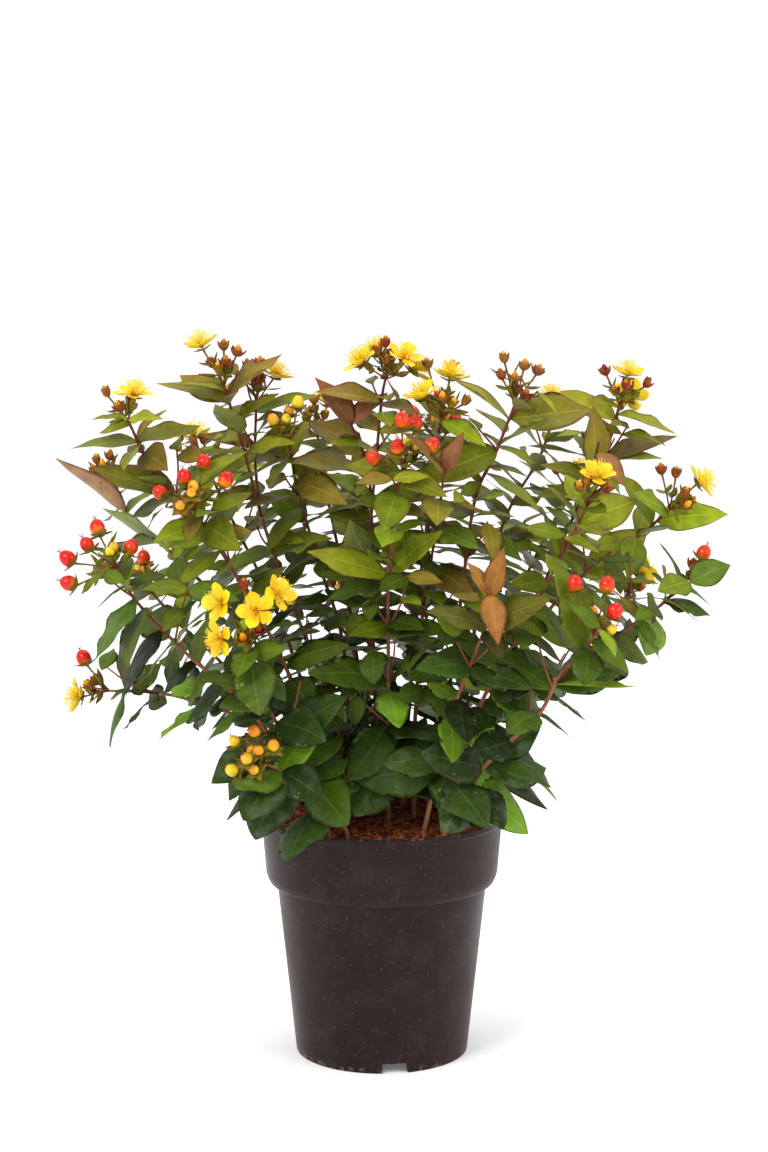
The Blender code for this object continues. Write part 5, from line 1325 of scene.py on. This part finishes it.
def add_fibres(surface):
    """Strands of coir that lie on the soil, each a thin tube along a wandering line."""
    draw = np.random.default_rng(12)
    t = np.linspace(0, 1, 7)
    bow = np.sin(math.pi * t)
    for k in range(FIBRES):
        radius = math.sqrt(draw.uniform()) * 0.080
        turn = draw.uniform(0, math.tau)
        way = draw.uniform(0, math.tau)
        length = draw.uniform(0.006, 0.024)
        bend = draw.uniform(-0.35, 0.35) * length
        x = radius * math.cos(turn) + math.cos(way) * length * (t - 0.5) - math.sin(way) * bend * bow
        y = radius * math.sin(turn) + math.sin(way) * length * (t - 0.5) + math.cos(way) * bend * bow
        keep = SOIL_EDGE / np.maximum(np.hypot(x, y), SOIL_EDGE)
        x = x * keep
        y = y * keep
        z = soil_height(x, y) + 0.0004 + draw.uniform(0.0002, 0.0022) * bow
        colour = blend(COIR_TONES[2], COIR_TONES[3], draw.uniform())
        tube(surface, np.stack([x, y, z], -1), draw.uniform(0.00012, 0.0003), 3, clean(colour), 0)


# Materials

class Nodes:
    """Short ways to add shader nodes to a tree. Most give the socket that comes out of the node."""

    def __init__(self, tree):
        self.tree = tree

    def add(self, kind, settings=None, **sockets):
        """A node with its settings and its inputs, each a value or another node's output."""
        made = self.tree.nodes.new("ShaderNode" + kind)
        for key, value in (settings or {}).items():
            setattr(made, key, value)
        for key, value in sockets.items():
            self.plug(made.inputs[key.replace("_", " ")], value)
        return made

    def plug(self, socket, value):
        if isinstance(value, bpy.types.NodeSocket):
            self.tree.links.new(value, socket)
        else:
            socket.default_value = value

    def place(self):
        """The place on the object."""
        found = self.tree.nodes.get("Texture Coordinate")
        return (found or self.tree.nodes.new("ShaderNodeTexCoord")).outputs["Object"]

    def stretched(self, vector, *scale):
        return self.add("Mapping", None, Vector=vector, Scale=scale).outputs[0]

    def noise(self, scale, detail, vector=None):
        vector = vector or self.place()
        return self.add("TexNoise", None, Vector=vector, Scale=scale, Detail=detail).outputs["Fac"]

    def mix(self, factor, a, b, kind="MIX"):
        """A mix of two colours."""
        made = self.add("Mix", {"data_type": "RGBA", "blend_type": kind})
        for index, value in ((0, factor), (6, a), (7, b)):
            if index and not isinstance(value, bpy.types.NodeSocket):
                value = (*value[:3], 1)
            self.plug(made.inputs[index], value)
        return made.outputs[2]

    def math(self, operation, *values):
        made = self.add("Math", {"operation": operation})
        for socket, value in zip(made.inputs, values):
            self.plug(socket, value)
        return made.outputs[0]

    def times(self, a, b):
        return self.math("MULTIPLY", a, b)

    def fade(self, value, start, end, low=0.0, high=1.0):
        """A smooth change from low to high as a value goes from start to end."""
        return self.add("MapRange", {"interpolation_type": "SMOOTHSTEP"}, Value=value, From_Min=start,
                        From_Max=end, To_Min=low, To_Max=high).outputs[0]

    def sway(self, noise, low, high):
        """A value from low to high over the middle of a noise."""
        return self.fade(noise, 0.3, 0.7, low, high)

    def shade(self, colour, noise, low, high):
        """A colour times a grey that goes from low to high with a noise."""
        grey = self.add("CombineColor")
        value = self.sway(noise, low, high)
        for socket in grey.inputs:
            self.plug(socket, value)
        return self.mix(1.0, colour, grey.outputs[0], "MULTIPLY")

    def dusted(self, colour, film, specks, scale):
        """A colour under dust, and the dust's mask."""
        return self.add("Group", {"node_tree": SPECKLES}, Colour=colour, Dust_Colour=(*DUST, 1), Film=film,
                        Specks=specks, Scale=scale).outputs[:2]


class Paint(Nodes):
    """A material over the colour and the dust that its mesh carries."""

    def __init__(self, name):
        self.material = bpy.data.materials.new(name)
        self.material.use_nodes = True
        super().__init__(self.material.node_tree)
        carried = self.add("Attribute", {"attribute_name": "tone"}).outputs
        self.colour, self.dust = carried["Color"], carried["Alpha"]

    def blade(self):
        """The place along and across a blade."""
        return self.add("UVMap", {"uv_map": "blade"}).outputs[0]

    def finish(self, colour, bump, **sockets):
        """The material, given its colour, its other inputs and its bump's height, strength and depth."""
        if bump:
            height, strength, depth = bump
            made = self.add("Bump", None, Height=height, Strength=strength, Distance=depth)
            sockets["Normal"] = made.outputs["Normal"]
        shader = self.tree.nodes["Principled BSDF"]
        for key, value in dict(sockets, Base_Color=colour).items():
            self.plug(shader.inputs[key.replace("_", " ")], value)
        return self.material


def speckle_group():
    """A group that lays pale dust and specks over a colour where a mask lets it."""
    group = bpy.data.node_groups.new("dust and specks", "ShaderNodeTree")
    for way, label, kind in (
            ("INPUT", "Colour", "Color"), ("INPUT", "Dust Colour", "Color"), ("INPUT", "Film", "Float"),
            ("INPUT", "Specks", "Float"), ("INPUT", "Scale", "Float"), ("OUTPUT", "Colour", "Color"),
            ("OUTPUT", "Mask", "Float")):
        group.interface.new_socket(label, in_out=way, socket_type="NodeSocket" + kind)
    given = group.nodes.new("NodeGroupInput").outputs
    result = group.nodes.new("NodeGroupOutput").inputs
    nodes = Nodes(group)
    film = nodes.times(nodes.fade(nodes.noise(given["Scale"], 5.0), 0.42, 0.68), given["Film"])
    dots = nodes.add("TexVoronoi", None, Vector=nodes.place(), Scale=nodes.times(given["Scale"], 9.0)).outputs
    pick = nodes.add("SeparateColor", None, Color=dots["Color"]).outputs
    size = nodes.math("ADD", nodes.times(pick[1], 1.5), 0.25)
    speck = nodes.fade(nodes.math("DIVIDE", dots["Distance"], size), 0.15, 0.08)
    speck = nodes.times(speck, nodes.math("GREATER_THAN", pick[0], 0.72))
    mask = nodes.math("MAXIMUM", film, nodes.times(speck, given["Specks"]))
    nodes.plug(result["Colour"], nodes.mix(mask, given["Colour"], given["Dust Colour"]))
    nodes.plug(result["Mask"], mask)
    return group


def leaf_material():
    """Carried colour with a pale midrib, side veins, mottling and dust."""
    paint = Paint("leaf blade")
    times = paint.times
    t, across = paint.add("SeparateXYZ", None, Vector=paint.blade()).outputs[:2]
    v = times(paint.math("ABSOLUTE", paint.math("SUBTRACT", across, 0.5)), 2.0)
    rib = paint.fade(v, 0.07, 0.015)
    margin = paint.fade(v, 0.88, 0.98)
    beat = paint.math("FRACT", times(paint.math("SUBTRACT", t, times(v, 0.20)), 8.5))
    vein = paint.fade(paint.math("ABSOLUTE", paint.math("SUBTRACT", beat, 0.5)), 0.11, 0.02)
    vein = times(vein, paint.fade(v, 0.95, 0.6))
    mottle = paint.noise(95.0, 4.0)
    final = paint.shade(paint.colour, mottle, 0.80, 1.16)
    pale = paint.mix(0.05, paint.mix(1.0, paint.colour, (1.5, 1.5, 1.5), "MULTIPLY"), VEIN_TONE)
    for mask, strength in ((vein, 0.24), (margin, 0.25), (rib, 0.85)):
        final = paint.mix(times(mask, strength), final, pale)
    red = paint.math("MINIMUM", paint.math("MAXIMUM", times(paint.dust, -1.6), 0.0), 0.85)
    final = paint.mix(times(margin, red), final, RED_BROWN)
    dust = paint.math("MAXIMUM", paint.dust, 0.0)
    final, mask = paint.dusted(final, times(dust, 0.16), times(dust, 0.9), 110.0)
    rough = paint.math("ADD", paint.sway(mottle, 0.40, 0.54), times(mask, 0.3))
    veins = paint.math("MAXIMUM", rib, times(vein, 0.6))
    relief = paint.math("SUBTRACT", times(paint.noise(900.0, 2.0), 0.25), veins)
    return paint.finish(final, (relief, 0.45, 0.0006), Roughness=rough, Specular_IOR_Level=0.11)


def stalk_material():
    """Carried red-brown with streaks along the stalk."""
    paint = Paint("red-brown stalk")
    streak = paint.noise(1400.0, 3.0, paint.stretched(paint.place(), 1.0, 1.0, 0.12))
    return paint.finish(paint.shade(paint.colour, streak, 0.68, 1.28), (streak, 0.35, 0.0003),
                        Roughness=paint.sway(streak, 0.42, 0.60), Specular_IOR_Level=0.15)


def sepal_material():
    """Carried colour with mottling."""
    paint = Paint("sepal")
    mottle = paint.noise(420.0, 3.0)
    return paint.finish(paint.shade(paint.colour, mottle, 0.78, 1.22), (mottle, 0.25, 0.0003),
                        Roughness=0.48, Specular_IOR_Level=0.16)


def berry_material():
    """A glossy skin with faint freckles."""
    paint = Paint("berry skin")
    cloud = paint.noise(260.0, 3.0)
    freckle = paint.fade(paint.noise(1500.0, 2.0), 0.60, 0.72)
    final = paint.shade(paint.colour, cloud, 0.82, 1.14)
    final = paint.mix(paint.times(freckle, 0.16), final, AMBER_TONES[0])
    return paint.finish(final, (cloud, 0.10, 0.0004), Roughness=paint.sway(cloud, 0.16, 0.26),
                        Specular_IOR_Level=0.10, Coat_Weight=0.45, Coat_Roughness=0.03)


def petal_material():
    """Yellow with fine lines from foot to edge."""
    paint = Paint("petal")
    streak = paint.noise(1.6, 2.0, paint.stretched(paint.blade(), 2.0, 26.0, 1.0))
    return paint.finish(paint.shade(paint.colour, streak, 0.88, 1.08), (streak, 0.25, 0.0003), Roughness=0.55)


def stamen_material():
    """Powdery yellow."""
    paint = Paint("stamen")
    return paint.finish(paint.shade(paint.colour, paint.noise(2600.0, 2.0), 0.85, 1.15), None, Roughness=0.6)


def soil_material():
    """Fibrous coir: carried colour broken up at two scales, with a deep bump."""
    paint = Paint("coir and peat")
    coarse = paint.noise(420.0, 5.0)
    relief = paint.math("ADD", coarse, paint.times(paint.noise(2100.0, 3.0), 0.5))
    return paint.finish(paint.shade(paint.colour, coarse, 0.55, 1.45), (relief, 0.8, 0.0012), Roughness=0.95)


def pot_material():
    """Moulded charcoal plastic: faint turning lines, fine scuffs, dust, specks, and a worn foot and lip."""
    paint = Paint("charcoal pot plastic")
    place = paint.place()
    lines = paint.noise(18.0, 3.0, paint.stretched(place, 1.0, 1.0, 30.0))
    blotch = paint.noise(14.0, 5.0)
    drips = paint.noise(420.0, 4.0, paint.stretched(place, 1.0, 1.0, 0.30))
    scuff = paint.times(paint.fade(drips, 0.62, 0.74), paint.fade(blotch, 0.45, 0.62))
    height = paint.add("SeparateXYZ", None, Vector=place).outputs[2]
    edge = paint.math("MAXIMUM", paint.fade(height, 0.006, 0.0015), paint.fade(height, 0.1875, 0.1888))
    worn = paint.times(edge, paint.fade(paint.noise(240.0, 4.0), 0.50, 0.66))
    final = paint.shade(paint.colour, blotch, 0.86, 1.16)
    final = paint.mix(paint.times(scuff, 0.05), final, DUST)
    final = paint.mix(paint.times(worn, 0.40), final, WORN_TONE)
    final, mask = paint.dusted(final, 0.010, 0.26, 60.0)
    rough = paint.math("ADD", paint.sway(blotch, 0.36, 0.50), paint.times(mask, 0.4))
    return paint.finish(final, (lines, 0.12, 0.0004), Roughness=rough, Specular_IOR_Level=0.13,
                        Sheen_Weight=0.09, Sheen_Roughness=0.35, Sheen_Tint=(1.0, 0.72, 0.66, 1))


def floor_material():
    made = bpy.data.materials.new("pale floor")
    made.use_nodes = True
    for socket, value in (("Base Color", (0.95, 0.95, 0.95, 1)), ("Roughness", 0.9),
                          ("Emission Color", (1, 1, 1, 1)), ("Emission Strength", 0.08)):
        made.node_tree.nodes["Principled BSDF"].inputs[socket].default_value = value
    return made


# Putting the pieces together

def give(piece, slot, *nodes):
    """A piece rides with the plant and stands for its solids."""
    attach(piece, "root")
    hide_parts(*nodes)


def grow_plant():
    """The routes, leaves and heads of the whole plant, with those that only the looks have."""
    plans = plan_routes()
    for plan in plans.values():
        plan["length"] = route_length(plan["route"])
    heads = plan_heads(plans)
    leaves = seated_leaves(plans)
    draw = random.Random(DRESS_SEED)
    for leaf in leaves:
        dress_leaf(leaf, plans, draw)
    outer = min(leaves, key=lambda leaf: tip_of(leaf).x)
    outer.update(width=0.32, fold=0.55, tones=(PALE_TAN, PALE_TAN, RED_BROWN, PALE_TAN, 0.0))
    low, high = (np.array(corner) for corner in CAD_BOX)
    low = np.array([low[0], low[1], POT_HEIGHT - 0.004])
    room = Room(low - 0.01, high + 0.01)
    for plan in plans.values():
        room.take(plan["fine"])
    for head in heads:
        take_head(room, head)
    for leaf in leaves:
        room.take(leaf_probe(leaf, ROOT_KEEP_OFF))
    heads += extra_heads(heads, room, low, high)
    twigs = plan_twigs(plans, leaves, room, low, high)
    plans.update(twigs)
    extra = filling_leaves(plans, leaves, room, low, high)
    print(f"{len(leaves)} seated and {len(extra)} filling leaves, {len(twigs)} twigs, {len(heads)} heads")
    return plans, leaves + extra, heads


def add_shoot_head(surface, head, draw):
    """A bud, a lone berry or a flower's calyx, on its stalk."""
    facing = head["facing"]
    add_stalked(surface, head, -0.0008, draw)
    if head["kind"] == "buds":
        add_bud(surface, head, draw)
    elif head["kind"] == "berries":
        add_berry(surface, head, False, draw)
    else:
        tones = (SEPAL_GREEN, blend(SEPAL_GREEN, SEPAL_RED, 0.35))
        low_place = head["place"] - facing * 0.001
        add_sepals(surface, low_place, facing, 0.0075, 0.0048, math.radians(14), tones, draw)


def add_stalked(surface, head, past_tip, draw):
    """A head's stalk, from a little past the route's tip, with its bracts."""
    start = head["tip"] + head["heading"] * past_tip
    add_pedicel(surface, start, head["place"], head["heading"])
    add_bracts(surface, start, head["place"], draw)


def make_plant():
    """A piece for each rooted shoot, each flower and each bunch."""
    plans, leaves, heads = grow_plant()
    looks = [leaf_material(), stalk_material(), sepal_material(), berry_material()]
    flower_looks = [petal_material(), stamen_material(), looks[BERRY_LOOK]]
    for name in plans:
        members = [other for other, plan in plans.items() if plan["owner"] == name]
        if not members:
            continue
        surface = Surface()
        for member in members:
            grown = [leaf for leaf in leaves if leaf["shoot"] == member]
            add_stalk(surface, plans[member], grown, member)
            for leaf in grown:
                length = leaf["offset"].length
                add_leaf(surface, leaf, *next(grid for least, *grid in LEAF_GRIDS if length > least))
        draw = random.Random("buds of " + name)
        for head in heads:
            if head["shoot"] in members and not in_bunch(head):
                add_shoot_head(surface, head, draw)
        slot = "young_leaves" if "shoot_" + name in YOUNG_NODES else "leaves"
        give(surface.piece("leafy_shoot_" + name, looks), slot, "shoot_" + name)
    draw = random.Random(FLOWER_SEED)
    for head in heads:
        if head["kind"] == "flowers":
            surface = Surface()
            add_flower(surface, head, draw)
            label = f"{head['shoot']}_{head['index'] + 1}"
            give(surface.piece("bloom_" + label, flower_looks), "petals", "flower_" + label)
    for name in SHOOTS:
        bunch = [head for head in heads if head["shoot"] == name and in_bunch(head)]
        if bunch:
            amber = name in AMBER_BUNCHES
            surface = Surface()
            for head in bunch:
                add_stalked(surface, head, 0.0004, draw)
                add_berry(surface, head, amber, draw)
            slot = "amber_berries" if amber else "red_berries"
            give(surface.piece("berry_bunch_" + name, looks), slot, "berries_" + name)


def in_bunch(head):
    return head["kind"] == "berries" and len(SHOOTS[head["shoot"]]["berries"]) > 1


# Stage, light and camera

def make_floor():
    bpy.ops.mesh.primitive_plane_add(size=8)
    floor = bpy.context.object
    floor.name = "floor"
    floor.data.materials.append(floor_material())


def add_light(name, place, target, size, power):
    """A soft square lamp that looks at a target."""
    data = bpy.data.lights.new(name, "AREA")
    data.shape = "SQUARE"
    data.size = size
    data.energy = power
    lamp = bpy.data.objects.new(name, data)
    lamp.location = place
    lamp.rotation_euler = (Vector(target) - Vector(place)).to_track_quat("-Z", "Y").to_euler()
    bpy.context.scene.collection.objects.link(lamp)


def set_light():
    world = bpy.data.worlds.new("studio")
    world.use_nodes = True
    backdrop = world.node_tree.nodes["Background"].inputs
    backdrop["Color"].default_value = (1, 1, 1, 1)
    backdrop["Strength"].default_value = 1.06
    bpy.context.scene.world = world
    bpy.context.scene.view_settings.view_transform = "Standard"
    add_light("key", (-1.2, -1.5, 1.6), (0, 0, 0.33), 1.1, 28)
    add_light("fill", (1.6, -0.9, 0.9), (0, 0, 0.3), 1.3, 13)
    add_light("top", (0.2, 0.5, 1.9), (0, 0, 0.4), 1.0, 9)


def set_camera():
    """The photograph's view: the height, tilt and focal length that fit the pot's rim and foot."""
    data = bpy.data.cameras.new("camera")
    data.sensor_fit = "HORIZONTAL"
    data.sensor_width = 36
    data.lens = FOCAL_PIXELS * data.sensor_width / PHOTO_WIDTH
    camera = bpy.data.objects.new("camera", data)
    camera.location = (CAMERA_SIDE, -CAMERA_DISTANCE, CAMERA_HEIGHT)
    camera.rotation_euler = (math.pi / 2 - CAMERA_TILT, 0, 0)
    bpy.context.scene.collection.objects.link(camera)
    bpy.context.scene.camera = camera


SPECKLES = speckle_group()
set_camera()
set_light()
make_floor()
give(make_pot(), "pot_plastic", "pot")
give(make_soil(), "coir_soil", "soil")
make_plant()
